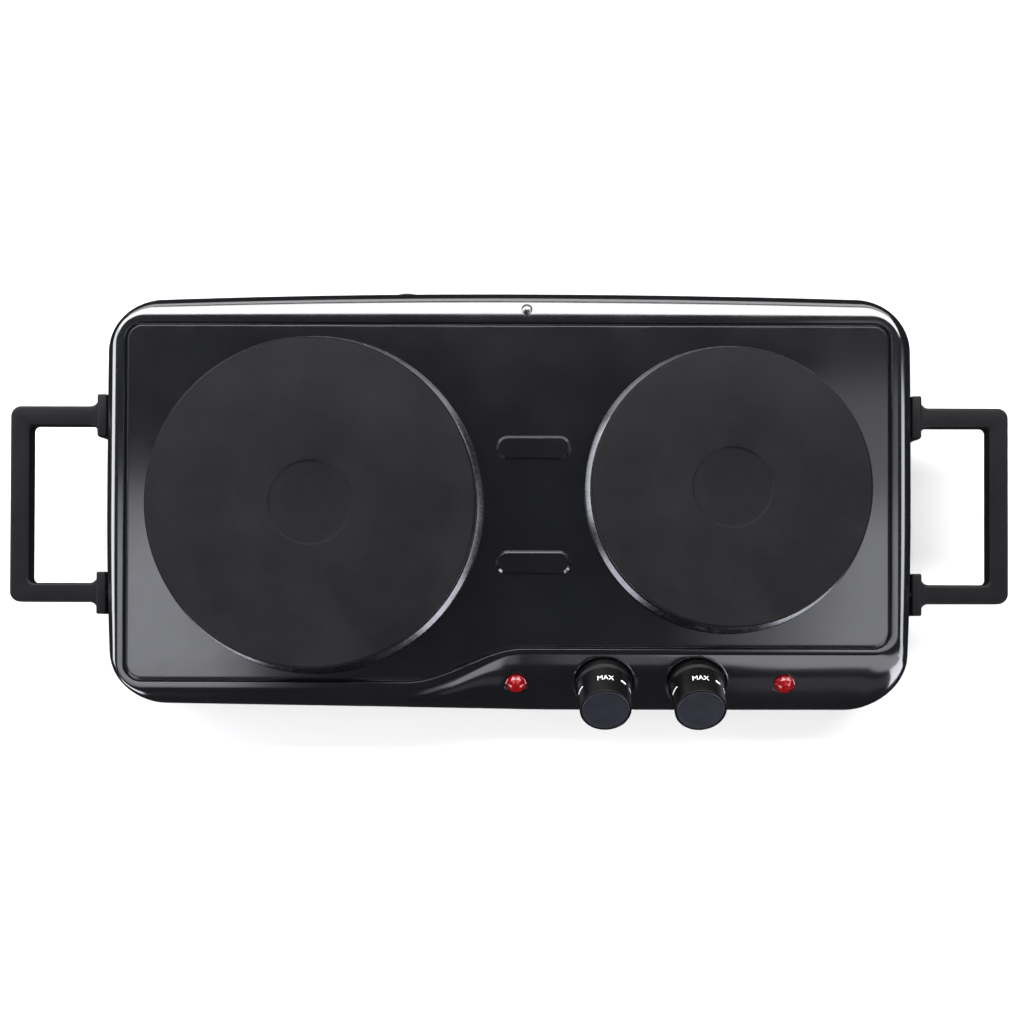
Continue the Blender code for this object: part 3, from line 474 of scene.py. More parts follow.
LOOKS = {
    "housing": enamel("black_enamel", (0.0018, 0.0019, 0.0026), 0.13, 0.02),
    "trim": metal("ring_steel", (0.1, 0.1, 0.105), 0.24, 40, strength=0.01),
    "edge": metal("turned_iron", (0.26, 0.26, 0.27), 0.34, 30, strength=0.005),
    "iron": cast_iron("blackened_iron", (0.0046, 0.0046, 0.0053), 0.5, 0.0011),
    "handle": moulded("handle_plastic", (0.0032, 0.0032, 0.0037), 0.42, specular=0.11),
    "knob": moulded("knob_plastic", (0.0012, 0.0012, 0.0015), 0.38, 1800, 0.06, 0.16),
    "cap": spun_disc("knob_disc", (0.0055, 0.0057, 0.0095)),
    "legend": moulded("legend_ink", (0.82, 0.82, 0.82), 0.5, 900, 0.04),
    "lens": red_glass("lamp_red"),
    "rubber": moulded("foot_rubber", (0.016, 0.016, 0.017), 0.78, 900, 0.3),
    "steel": metal("bright_steel", (0.62, 0.62, 0.62), 0.28),
    "dark_steel": metal("blackened_steel", (0.2, 0.2, 0.21), 0.25),
    "zinc": galvanised("zinc_sheet"),
    "ceramic": moulded("steatite", (0.72, 0.7, 0.64), 0.45, 700, 0.15),
    "brass": metal("contact_brass", (0.72, 0.5, 0.2), 0.3),
    "nylon": moulded("white_nylon", (0.7, 0.69, 0.65), 0.42, 600, 0.06),
    "wire_red": moulded("red_sleeve", (0.3, 0.015, 0.015), 0.5, 700, 0.08),
    "wire_blue": moulded("blue_sleeve", (0.02, 0.05, 0.28), 0.5, 700, 0.08),
    "wire_green": moulded("green_sleeve", (0.08, 0.25, 0.03), 0.5, 700, 0.08),
}


# ---------------- housing


def plan_frame():
    return Matrix.Translation((0, BODY_Y, 0))


def control_frame(x, lift=0.0):
    """The frame of a knob or lamp on the apron: its origin on the apron's plane, Z square to it."""
    base = Matrix.Translation((x, DIAL_BASE.y, DIAL_BASE.z))
    return base @ Matrix.Rotation(TILT, 4, "X") @ Matrix.Translation((0, 0, lift))


# Where the outlines' straight stretches carry stations: along X at the front and rear, along Y at the sides.
STATION_X = 197 * MM
SIDE_SPAN = (-66 * MM, 88 * MM)
FRONT_XS = spread(-STATION_X, STATION_X, FRONT_STATIONS)


def field_front(x):
    share = smooth((x - SWEEP[0]) / (SWEEP[1] - SWEEP[0]))
    return FIELD_FRONT_LEFT + (FIELD_FRONT_RIGHT - FIELD_FRONT_LEFT) * share


def field_loop():
    """The edge of the flat field, a little narrower on the right."""
    loop = rounded_loop(FIELD_HALF_WIDTH, field_front, FIELD_REAR, FIELD_RADIUS)
    return [Vector((x * FIELD_RIGHT_SHARE if x > 0 else x, y)) for x, y in loop]


def rounded_loop(half_width, front, rear, radius):
    """A closed outline, counter-clockwise from the left end of its front edge."""
    inner = half_width - radius
    sides = spread(*SIDE_SPAN, SIDE_STATIONS)
    points = [(x, front(x)) for x in FRONT_XS]
    points += arc(inner, front(half_width) + radius, radius, -90, 0, CORNER_STEPS)
    points += [(half_width, y) for y in sides]
    points += arc(inner, rear - radius, radius, 0, 90, CORNER_STEPS)
    points += [(x, rear) for x in spread(STATION_X, -STATION_X, REAR_STATIONS)]
    points += arc(-inner, rear - radius, radius, 90, 180, CORNER_STEPS)
    points += [(-half_width, y) for y in reversed(sides)]
    points += arc(-inner, front(-half_width) + radius, radius, 180, 270, CORNER_STEPS)
    return [Vector(point) for point in points]


def front_setback(x):
    """How far the front edge stands back from where it lies before the controls."""
    share = smooth((x - SETBACK_SWEEP[0]) / (SETBACK_SWEEP[1] - SETBACK_SWEEP[0]))
    left = SETBACK - SETBACK_SLOPE * x
    right = FRONT_RIGHT_BOW * (x / FRONT_BOW_SPAN) ** 2
    return left + (right - left) * share


def rear_edge(x):
    bow = REAR_BOW_LEFT if x < 0 else REAR_BOW_RIGHT
    return REAR * (1 - bow * (x / REAR_BOW_SPAN) ** 2)


def bowed(point):
    """The outline's edges bow outwards a little towards their middles."""
    x, y = point
    if y > 0:
        toward_rear = y / REAR
        return Vector((x * (1 - REAR_TAPER * toward_rear**2), rear_edge(x) * toward_rear))
    toward_front = y / FRONT
    return Vector((x * (1 - FRONT_TAPER * toward_front**2), y + front_setback(x) * toward_front))


def offset_loop(points, distance):
    """The outline moved outwards by a distance."""
    moved = []
    for i, point in enumerate(points):
        before = (point - points[i - 1]).normalized()
        after = (points[(i + 1) % len(points)] - point).normalized()
        normal = Vector((before.y + after.y, -before.x - after.x)).normalized()
        spread_out = max(normal.dot(Vector((after.y, -after.x))), 0.5)
        moved.append(point + normal * distance / spread_out)
    return moved


def apron_shares():
    """How much each outline point belongs to the control apron rather than to the round shoulder."""
    span = APRON_SWEEP[1] - APRON_SWEEP[0]
    shares = [smooth((x - APRON_SWEEP[0]) / span) for x in FRONT_XS]
    shares += [1 - smooth(i / CORNER_STEPS) for i in range(CORNER_STEPS + 1)]
    return shares + [0.0] * (len(body_outline()) - len(shares))


def apron_at(share):
    """A smooth curve through the apron's points: (out, drop) at a share of its length."""
    count = len(APRON) - 1
    index = min(int(share * count), count - 1)
    t = share * count - index
    a, b, c, d = (Vector(APRON[min(max(index + k, 0), count)]) for k in (-1, 0, 1, 2))
    return 0.5 * (2 * b + (c - a) * t + (2 * a - 5 * b + 4 * c - d) * t**2 + (3 * b - a - 3 * c + d) * t**3)


def rim_rings(field):
    """Rings over the drip groove and the bead."""
    rings = []
    for out, rise in rounded(in_metres(RIM), RIM_ARC_STEPS):
        rings.append([(x, y, PANEL + rise) for x, y in offset_loop(field, out)])
    return rings


def body_outline():
    return [bowed(p) for p in rounded_loop(HALF_WIDTH, lambda x: FRONT, REAR, CORNER_RADIUS)]


def shoulder_rings(last, outline):
    """Rings from the bead out over the shoulder or the apron, down to the top of the wall."""
    shares = apron_shares()
    rings = []
    for i in range(1, SHOULDER_STEPS + 1):
        angle = UPRIGHT * i / SHOULDER_STEPS
        apron_out, apron_drop = apron_at(i / SHOULDER_STEPS)
        ring = []
        for (x, y, z), edge, share in zip(last, outline, shares):
            out = math.sin(angle) * (1 - share) + apron_out * share
            drop = SHOULDER_DROP * (1 - math.cos(angle)) * (1 - share) + apron_drop * share
            flat = Vector((x, y)).lerp(edge, out)
            ring.append((flat.x, flat.y, z - drop))
        rings.append(ring)
    return rings


WALL_STEPS = 6
WALL_FOOT = 0.4 * MM
WALL_FOOT_INSET = 0.35 * MM


def wall_rings(top, outline):
    """Rings down the flared wall, ending in a small chamfered foot."""
    rings = []
    for k in range(1, WALL_STEPS + 1):
        share = k / WALL_STEPS
        ring = []
        for (x, y, z), edge in zip(top, offset_loop(outline, FLARE * share)):
            ring.append((edge.x, edge.y, z + (SKIRT + WALL_FOOT - z) * share))
        rings.append(ring)
    foot = offset_loop(outline, FLARE - WALL_FOOT_INSET)
    rings.append([(x, y, SKIRT) for x, y in foot])
    return rings


def racetrack(x, y, length, width, steps=20):
    radius = width / 2
    reach = length / 2 - radius
    return arc(x + reach, y, radius, -90, 90, steps) + arc(x - reach, y, radius, 90, 270, steps)


def add_pad(bm, y):
    """A raised racetrack pad. Its outer loop is left for the field to join."""
    rings = []
    for inset, rise in rounded(in_metres(PAD_PROFILE), 3):
        outline = racetrack(PAD_X, y, PAD_LENGTH - 2 * inset, PAD_WIDTH - 2 * inset)
        rings.append([bm.verts.new((px, py, PANEL + rise)) for px, py in outline])
    skin(bm, rings)
    bm.faces.new(rings[-1])
    return rings[0]


def skin(bm, rings):
    """Faces between rings of vertices with equal counts, the first ring innermost."""
    for inner, outer in zip(rings, rings[1:]):
        for i in range(len(inner)):
            j = (i + 1) % len(inner)
            bm.faces.new((inner[i], outer[i], outer[j], inner[j]))


def edges_of(bm, ring):
    found = []
    for i, vert in enumerate(ring):
        after = ring[(i + 1) % len(ring)]
        found.append(bm.edges.get((vert, after)) or bm.edges.new((vert, after)))
    return found


def inset_ring(bm, ring, points):
    """A support ring of the same count just inside or outside another, on the flat field."""
    made = [bm.verts.new((x, y, PANEL)) for x, y in points]
    skin(bm, [made, ring])
    return made


FIELD_SUPPORT = 0.7 * MM


def housing_solid(rings, fill_field=False):
    """A closed solid over the rings. The field inside the first ring may hold the raised pads."""
    bm = bmesh.new()
    loops = [[bm.verts.new(point) for point in ring] for ring in rings]
    skin(bm, loops)
    bm.faces.new(loops[-1])
    if not fill_field:
        bm.faces.new(loops[0])
        return mesh_of(bm, "housing_solid")
    support = inset_ring(bm, loops[0], offset_loop([Vector(p[:2]) for p in rings[0]], -FIELD_SUPPORT))
    edges = edges_of(bm, support)
    for y in PAD_YS:
        pad = add_pad(bm, y)
        outside = racetrack(PAD_X, y, PAD_LENGTH + PAD_MARGIN, PAD_WIDTH + PAD_MARGIN)
        edges += edges_of(bm, inset_ring(bm, pad, outside))
    bmesh.ops.triangle_fill(bm, use_beauty=True, use_dissolve=False, edges=edges, normal=(0, 0, 1))
    return mesh_of(bm, "housing_solid")


# How far the cavity's flat roof lies under the field, and how far it reaches below the skirt.
CAVITY_ROOF = 2.5 * MM
CAVITY_REACH = 1 * MM


def cavity_rings(field, outline):
    """The inside of the housing, a sheet's thickness within the outside."""
    out, rise, _ = RIM[-1]
    start = offset_loop(field, out * MM - SHEET / 2)
    inner = offset_loop(outline, -SHEET)
    shoulders = shoulder_rings([(x, y, PANEL + rise * MM - SHEET) for x, y in start], inner)
    bottom = [(x, y, SKIRT - CAVITY_REACH) for x, y in offset_loop(inner, FLARE)]
    return [[(x, y, PANEL - CAVITY_ROOF) for x, y in field]] + shoulders + [bottom]


def thickened(mesh, thickness):
    obj = helper("sheet", mesh)
    shell = obj.modifiers.new("Sheet", "SOLIDIFY")
    shell.thickness = thickness
    shell.offset = -1
    shell.use_even_offset = True
    return shown(obj)


def rolled_edge(surface, place, radius, roll):
    """The rounded edge where a round dish meets the curved apron: a tube lying along that line."""
    steps = 120
    sides = 14
    above = 15 * MM
    sink = 0.8 * roll
    bm = bmesh.new()
    axis = (place.to_3x3() @ Vector((0, 0, 1))).normalized()
    rings = []
    for i in range(steps):
        angle = 2 * math.pi * i / steps
        out = Vector((math.cos(angle), math.sin(angle), 0))
        start = place @ (out * (radius + roll) + Vector((0, 0, above)))
        centre = surface.ray_cast(start, -axis)[0] - axis * sink
        outward = place.to_3x3() @ out
        ring = []
        for k in range(sides):
            turn = 2 * math.pi * k / sides
            point = centre + outward * roll * math.cos(turn) + axis * roll * math.sin(turn)
            ring.append(bm.verts.new(point))
        rings.append(ring)
    skin(bm, rings + rings[:1])
    return mesh_of(bm, "rolled_edge")


# Radii, and the lowest and highest points along the control's axis, in millimetres.
SPINDLE_HOLE = (4.2, -10, 5)
LAMP_BACKING = (6.9, -2.4, -0.1)
LAMP_FLAT = (7.3, 0, 5)
LAMP_HOLE = (4.4, -5, 5)
DISH_WALL = 1.4 * MM
CUT_REACH = 8 * MM
ROLL_OVERLAP = 0.05 * MM


def drilled(sizes, steps):
    radius, low, high = in_metres([sizes])[0]
    return cylinder(radius, low, high, steps)


def control_cuts(surface, apron):
    """The knobs' dishes with their rolled edges and spindle holes, and the lamps' flats and holes."""
    to_plan = plan_frame().inverted()
    operations = []
    for x in KNOB_XS.values():
        place = to_plan @ control_frame(x)
        backing = cylinder(RECESS_RADIUS + DISH_WALL, -RECESS_DEPTH - DISH_WALL, CUT_REACH, 120)
        dish = carved("dish", apron, [("INTERSECT", backing, place)])
        edge = rolled_edge(surface, place, RECESS_RADIUS - ROLL_OVERLAP, RECESS_ROLL)
        operations += [
            ("UNION", dish, None),
            ("DIFFERENCE", cylinder(RECESS_RADIUS, -RECESS_DEPTH, CUT_REACH, 120), place),
            ("DIFFERENCE", drilled(SPINDLE_HOLE, 32), place),
            ("UNION", edge, None),
        ]
    for x in LAMP_XS.values():
        place = to_plan @ control_frame(x, LAMP_LIFT)
        operations += [
            ("UNION", drilled(LAMP_BACKING, 64), place),
            ("DIFFERENCE", drilled(LAMP_FLAT, 64), place),
            ("DIFFERENCE", drilled(LAMP_HOLE, 48), place),
        ]
    return operations


# Holes through the panel and the rear wall: their radii and how far their cutters reach in and out.
PANEL_CUT = (-9 * MM, 5 * MM)
PLATE_LEDGE = 5 * MM
SCREW_HOLE = 1.8 * MM
SCREW_CUT = (-9 * MM, 6 * MM)
GLAND_HOLE = 6.4 * MM
GLAND_CUT = (-6 * MM, 6 * MM)
APRON_SINK = 0.3 * MM


def panel_cuts():
    """The plates' openings, the rear screw's hole and the cord gland's bore."""
    operations = []
    for name in PLATES:
        centre = middle_of(name + "_plate")
        low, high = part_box(name + "_plate")
        place = Matrix.Translation((centre.x, centre.y - BODY_Y, PANEL))
        opening = cylinder((high.x - low.x) / 2 - PLATE_LEDGE, *PANEL_CUT, 128)
        operations.append(("DIFFERENCE", opening, place))
    hole = Matrix.Translation((middle_of("rear_screw").x, REAR_SCREW_Y, PANEL))
    hole = hole @ Matrix.Rotation(REAR_SCREW_LEAN, 4, "X")
    operations.append(("DIFFERENCE", cylinder(SCREW_HOLE, *SCREW_CUT, 24), hole))
    gland = middle_of("cord_gland")
    bore = Matrix.Translation((gland.x, REAR, gland.z)) @ Matrix.Rotation(UPRIGHT, 4, "X")
    operations.append(("DIFFERENCE", cylinder(GLAND_HOLE, *GLAND_CUT, 48), bore))
    return operations


def add_housing():
    field = field_loop()
    outline = body_outline()
    rims = rim_rings(field)
    shoulders = shoulder_rings(rims[-1], outline)
    outside = rims + shoulders + wall_rings(shoulders[-1], outline)
    solid = housing_solid(outside, fill_field=True)
    sunk = [[(x, y, z - APRON_SINK) for x, y, z in ring] for ring in outside[len(rims) - 1 :]]
    bm = bmesh.new()
    bm.from_mesh(solid)
    surface = BVHTree.FromBMesh(bm)
    bm.free()
    operations = [("DIFFERENCE", housing_solid(cavity_rings(field, outline)), None)]
    operations += control_cuts(surface, housing_solid(sunk)) + panel_cuts()
    mesh = carved("housing", solid, operations)
    finished("housing", mesh, LOOKS["housing"], ROOT, "top_housing", plan_frame(), sharp=30)


# ---------------- plates and rings


# Millimetres: the height at which the plates rest on their rings, and the radii of their recesses.
SEAT = 62
RECESSES = {"large": 23.5, "small": 22.4}
PLATE_STEPS = 256


def plate_mesh(name, radius, top):
    """A turned iron plate with a shallow centre recess, a rim that reaches down and a centre boss."""
    recess = RECESSES[name]
    lip_radius = radius - 7
    profile = (
        (0, top - 0.9, 0), (recess - 0.8, top - 0.9, 0.5), (recess, top, 0.5),
        (radius - 1.3, top, 0.4), (radius, top - 1.5, 0.9), (radius - 0.6, SEAT + 1.4, 0.6),
        (radius - 1.8, SEAT, 0.4), (lip_radius, SEAT, 0.4), (lip_radius - 0.5, SEAT - 8, 0.8),
        (lip_radius - 5.5, SEAT - 8, 0.8), (lip_radius - 6.5, SEAT + 1, 1.5),
        (13.5, SEAT + 1, 1.5), (12.5, SEAT - 6.5, 0.6), (0, SEAT - 6.5, 0),
    )
    return turned(profile, steps=PLATE_STEPS)


def edge_mesh(radius, top):
    """The bare turned band round a plate, a thin skin over its side."""
    profile = (
        (radius - 0.5, top - 1.0, 0), (radius + 0.06, top - 1.8, 0.5),
        (radius - 0.5, SEAT + 1.2, 0.4), (radius - 1.4, SEAT + 0.4, 0),
        (radius - 1.6, top - 1.9, 0),
    )
    return turned(profile, closed=True, steps=PLATE_STEPS)


def ring_mesh(radius):
    """The spill ring: a flat rim under the plate's edge, sloping down to the panel."""
    inner = radius - 5.4
    base = PANEL / MM + 0.3
    high_z = SEAT - 0.3
    profile = (
        (inner, high_z, 0.2), (radius + 0.3, high_z, 0.5), (radius + 3.15, high_z - 2.35, 0.9),
        (radius + 3.7, base, 0.3), (radius + 2.6, base, 0.2), (radius + 2.2, high_z - 2.9, 0.6),
        (radius + 0.2, high_z - 1, 0.4), (inner, high_z - 1, 0.2),
    )
    return turned(profile, closed=True, steps=PLATE_STEPS)


def add_plate(name):
    low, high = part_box(name + "_plate")
    centre = (low + high) / 2
    radius = (high.x - low.x) / 2 / MM
    top = high.z / MM
    place = Matrix.Translation((centre.x, centre.y, 0))
    plate = plate_mesh(name, radius, top)
    finished(name + "_iron_plate", plate, LOOKS["iron"], ROOT, name + "_plate", place)
    edge = edge_mesh(radius, top)
    finished(name + "_turned_edge", edge, LOOKS["edge"], matrix=place)
    ring = ring_mesh(radius)
    finished(name + "_spill_ring", ring, LOOKS["trim"], ROOT, name + "_trim_ring", place)


# ---------------- controls

# Radius and height in millimetres at the top and foot of the knob's side.
KNOB_SIDE = ((14.5, 26.6), (15.1, 6.6))
# The legend's thickness, and how far it stands off the knob.
INK = 0.12 * MM
INK_LIFT = 0.02 * MM


def knob_radius(height):
    """The knob's side radius in metres at a height in millimetres along its axis."""
    (top_r, top_s), (low_r, low_s) = KNOB_SIDE
    return (top_r + (low_r - top_r) * (top_s - height) / (top_s - low_s)) * MM


def bent_on_knob(mesh, height, turn):
    """Wraps a flat drawing (along the turn, up, out) on the knob's side."""
    for vert in mesh.vertices:
        across, up, out = vert.co
        level = height - up
        radius = knob_radius(level) + INK_LIFT + out
        angle = turn + across * MM / knob_radius(height)
        vert.co = (radius * math.sin(angle), radius * math.cos(angle), level * MM)


def word_mesh(text, width, height):
    """Generic lettering as a thin mesh in millimetres, centred, sliced so that it can be wrapped."""
    curve = bpy.data.curves.new("word", "FONT")
    curve.body = text
    curve.align_x = "CENTER"
    curve.align_y = "CENTER"
    curve.offset = -0.004
    curve.resolution_u = 4
    bm = bmesh.new()
    bm.from_mesh(shown(helper("word", curve)))
    for axis, size in enumerate((width, height)):
        places = [vert.co[axis] for vert in bm.verts]
        low = min(places)
        high = max(places)
        for vert in bm.verts:
            vert.co[axis] = (vert.co[axis] - (low + high) / 2) * size / (high - low)
    sliced(bm, width, 22)
    bmesh.ops.remove_doubles(bm, verts=bm.verts, dist=0.001)
    return thick_flat(bm)


def bar_mesh(width, height):
    """A plain tick with round ends, in millimetres."""
    bm = bmesh.new()
    outline = racetrack(0, 0, width, height, 8)
    bm.faces.new([bm.verts.new((x, y, 0)) for x, y in outline])
    sliced(bm, width, 8)
    return thick_flat(bm)


def sliced(bm, width, count):
    """Cuts a flat drawing across, so that it can bend round the knob."""
    for cut in spread(-width / 2, width / 2, count)[1:-1]:
        everything = bm.verts[:] + bm.edges[:] + bm.faces[:]
        bmesh.ops.bisect_plane(bm, geom=everything, plane_co=(cut, 0, 0), plane_no=(1, 0, 0))


def thick_flat(bm):
    """Gives a flat drawing in XY a thickness of ink."""
    upper = bmesh.ops.extrude_face_region(bm, geom=bm.faces[:])
    for item in upper["geom"]:
        if isinstance(item, bmesh.types.BMVert):
            item.co.z = INK
    return mesh_of(bm, "ink")


def add_legend(side, place):
    """The dial legend on the knob's side: a generic MAX and three tick marks."""
    marks = (
        (word_mesh("MAX", 9.2, 3.5), 0, 15.9),
        (bar_mesh(3.9, 1.5), 43, 15.4),
        (bar_mesh(4.2, 0.75), 71, 15.6),
        (bar_mesh(6.4, 0.8), -70, 15.4),
    )
    for mesh, degrees, height in marks:
        bent_on_knob(mesh, height, math.radians(degrees))
    legend = joined(side + "_legend", [mesh for mesh, _, _ in marks])
    finished(side + "_legend", legend, LOOKS["legend"], side + "_dial", matrix=place, sharp=30)


def add_knob(side, x):
    place = control_frame(x)
    profile = (
        (0, 25.4, 0), (13.7, 25.4, 0.2), (13.75, 26.5, 0.1), (14.1, 27, 0.2), (14.5, 26.6, 0.6),
        (15.1, 6.9, 0.9), (16.2, 5.6, 0.8), (16.2, -0.3, 0.3), (15.6, -0.9, 0.3),
        (3.4, -0.9, 0.2), (3.4, 12.5, 0.2), (0, 12.5, 0),
    )
    body = turned(profile, steps=160)
    finished(side + "_knob_body", body, LOOKS["knob"], side + "_dial", side + "_knob", place)
    profile = (
        (0, 26.75, 0), (11.5, 26.8, 2), (13, 26.95, 0.25), (13.45, 26.5, 0.2), (13.45, 25.7, 0),
        (0, 25.7, 0),
    )
    disc = turned(profile)
    finished(side + "_knob_disc", disc, LOOKS["cap"], side + "_dial", side + "_knob_cap", place)
    add_legend(side, place)


# The lens, ring by ring in millimetres: radius, height and twist in facets. Its dome ends in a point.
LENS_ROWS = (
    (4, -8.9, 0), (4, 0.3, 0), (6.1, 0.3, 0), (6.1, 1.1, 0), (5.6, 1.3, 0), (4.9, 3.2, 0.5),
    (2.7, 4.9, 0),
)
LENS_FACETS = 10
LENS_PEAK = 5.35 * MM


def lens_mesh(name):
    """A pilot lamp lens: a collar under a faceted dome."""
    bm = bmesh.new()
    rings = []
    for radius, height, twist in LENS_ROWS:
        ring = []
        for i in range(LENS_FACETS):
            angle = 2 * math.pi * (i + twist) / LENS_FACETS
            point = Vector((radius * math.cos(angle), radius * math.sin(angle), height))
            ring.append(bm.verts.new(point * MM))
        rings.append(ring)
    skin(bm, rings[:5])
    base, girdle, table = rings[4:]
    for i in range(LENS_FACETS):
        j = (i + 1) % LENS_FACETS
        bm.faces.new((base[i], base[j], girdle[i]))
        bm.faces.new((girdle[i], base[j], girdle[j]))
        bm.faces.new((girdle[i], girdle[j], table[j]))
        bm.faces.new((girdle[i], table[j], table[i]))
    peak = bm.verts.new((0, 0, LENS_PEAK))
    for i in range(LENS_FACETS):
        bm.faces.new((table[i], table[(i + 1) % LENS_FACETS], peak))
    bm.faces.new(rings[0])
    return mesh_of(bm, name)


def add_lamp(side, x):
    place = control_frame(x, LAMP_LIFT)
    mesh = lens_mesh(side + "_jewel")
    finished(side + "_jewel", mesh, LOOKS["lens"], ROOT, side + "_lamp_lens", place, sharp=8)


# ---------------- handles


def flat_solid(outline, thickness, edge):
    """A flat outline with thickness and rounded edges, as a mesh centred on Z = 0."""
    curve = bpy.data.curves.new("flat", "CURVE")
    curve.dimensions = "2D"
    curve.fill_mode = "BOTH"
    curve.extrude = thickness / 2 - edge
    curve.bevel_depth = edge
    curve.bevel_resolution = 4
    curve.offset = -edge
    spline = curve.splines.new("POLY")
    spline.points.add(len(outline) - 1)
    for point, (x, y) in zip(spline.points, outline):
        point.co = (x, y, 0, 1)
    spline.use_cyclic_u = True
    bm = bmesh.new()
    bm.from_mesh(shown(helper("flat", curve)))
    bmesh.ops.remove_doubles(bm, verts=bm.verts, dist=0.00001)
    return mesh_of(bm, "flat")


HANDLE_EDGE = 1.6 * MM
HANDLE_BAR = 11.1 * MM
HANDLE_LEVELS = (35.6 * MM, 45.6 * MM)
HANDLE_HALF_LENGTH = 56.5 * MM
HANDLE_FLARE = 4.6 * MM
HANDLE_OUTER_RADIUS = 6 * MM
HANDLE_INNER_RADIUS = 3 * MM
FLANGE = 5.5 * MM
FLANGE_YS = (39 * MM, 63.3 * MM)
FLANGE_EDGE = 1.1 * MM
FLANGE_OVERLAP = 0.2 * MM


def handle_outline(reach, flange_x):
    """The right handle seen from above: outer edge, then inner edge, as one closed outline."""
    face_x = flange_x + FLANGE
    outer = HANDLE_OUTER_RADIUS
    inner = HANDLE_INNER_RADIUS
    flare = HANDLE_FLARE
    outer_y = HANDLE_HALF_LENGTH
    inner_y = outer_y - HANDLE_BAR
    inner_x = reach - HANDLE_BAR
    edge = [(flange_x, FLANGE_YS[1]), (face_x, FLANGE_YS[1])]
    edge += arc(face_x + flare, outer_y + flare, flare, 180, 270, 10)
    edge += arc(reach - outer, outer_y - outer, outer, 90, 0, 12)
    far_side = edge + [(x, -y) for x, y in reversed(edge)]
    opening = [(flange_x, FLANGE_YS[0]), (face_x, FLANGE_YS[0])]
    opening += arc(face_x + flare, inner_y - flare, flare, 180, 90, 10)
    opening += arc(inner_x - inner, inner_y - inner, inner, 90, 0, 8)
    near_side = opening + [(x, -y) for x, y in reversed(opening)]
    return list(reversed(far_side + list(reversed(near_side))))


def add_handle(side, turn):
    low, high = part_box("right_handle")
    bar_low, bar_top = HANDLE_LEVELS
    bar = flat_solid(handle_outline(high.x, low.x), bar_top - bar_low, HANDLE_EDGE)
    bar.transform(Matrix.Translation((0, 0, (bar_top + bar_low) / 2)))
    face_x = low.x + FLANGE + FLANGE_OVERLAP
    operations = []
    for sign in (-1, 1):
        near, far = sorted(sign * y for y in FLANGE_YS)
        flange = block((low.x, near, low.z), (face_x, far, high.z), FLANGE_EDGE)
        operations.append(("UNION", flange, None))
    mesh = carved(side + "_grip", bar, operations)
    place = plan_frame() @ Matrix.Rotation(turn, 4, "Z")
    finished(side + "_grip", mesh, LOOKS["handle"], ROOT, side + "_handle", place, sharp=32)


# ---------------- base, feet and fittings


def cross_recess(radius, depth, top):
    """A cross-shaped driver recess, as a mesh to cut with."""
    width = 0.28 * radius
    reach = 0.62 * radius
    above = top + 1 * MM
    arms = ((reach, width), (width, reach))
    return joined("cross", [block((-x, -y, top - depth), (x, y, above)) for x, y in arms])


PAN_GAP = 3 * MM
PAN_FLOOR = 9 * MM
PAN_SHEET = 1 * MM
# The pan's turned-up edge in millimetres: inset from its outline and rise over its floor.
PAN_EDGE = ((2.6, 0), (1.6, 0.12), (0.7, 0.7), (0.12, 1.6), (0, 2.6), (0, 8))
VENTS = 6
VENT_PITCH = 12 * MM
VENT_LENGTH = 34 * MM
VENT_WIDTH = 5 * MM
VENT_CUT = 12 * MM
PAN_SCREW_HOLE = 2.2 * MM
PAN_SCREW_CUT = 14 * MM


def pan_cuts():
    """The vent slots under each plate and the holes for the feet's screws."""
    cuts = []
    for name in PLATES:
        centre = middle_of(name + "_plate")
        for i in range(VENTS):
            x = centre.x + (i - (VENTS - 1) / 2) * VENT_PITCH
            slot = flat_solid(racetrack(0, 0, VENT_LENGTH, VENT_WIDTH, 8), VENT_CUT, 0.0)
            turn = Matrix.Translation((x, centre.y - BODY_Y, PAN_FLOOR)) @ Matrix.Rotation(UPRIGHT, 4, "Z")
            cuts.append(("DIFFERENCE", slot, turn))
    for name in CORNERS:
        centre = middle_of("foot_" + name)
        place = Matrix.Translation((centre.x, centre.y - BODY_Y, 0))
        cuts.append(("DIFFERENCE", cylinder(PAN_SCREW_HOLE, 0, PAN_SCREW_CUT, 32), place))
    return cuts


def add_pan():
    """The zinc-coated base pan with its turned-up edge and its vents."""
    outline = offset_loop(body_outline(), -PAN_GAP)
    bm = bmesh.new()
    loops = []
    for inset, rise in in_metres(PAN_EDGE):
        ring = offset_loop(outline, -inset)
        loops.append([bm.verts.new((x, y, PAN_FLOOR + rise)) for x, y in ring])
    skin(bm, loops)
    bm.faces.new(loops[0])
    shell = thickened(mesh_of(bm, "pan_skin"), PAN_SHEET)
    mesh = carved("pan", shell, pan_cuts())
    finished("pan", mesh, LOOKS["zinc"], ROOT, "base_pan", plan_frame(), sharp=30)


# Half profiles in millimetres: radius, height and fillet.
FOOT = (
    (2.1, 8.6, 0), (9, 8.6, 0.4), (10, 7.4, 0.6), (10, 1.6, 0.8), (9, 0, 0.8), (7.4, 0, 0.3),
    (7.1, 0.5, 0.3), (6.1, 0.5, 0.3), (5.8, 0, 0.3), (4.2, 0, 0.4), (4.2, 4.6, 0.3),
    (2.1, 4.6, 0),
)
PAN_SCREW_FACE = 1.6
PAN_SCREW = (
    (0, 20, 0), (1.5, 20, 0.4), (1.5, 4.2, 0.2), (3.4, 4.2, 0.2), (3.6, 3.2, 0.3),
    (2.6, 1.8, 0.7), (0, PAN_SCREW_FACE, 0),
)


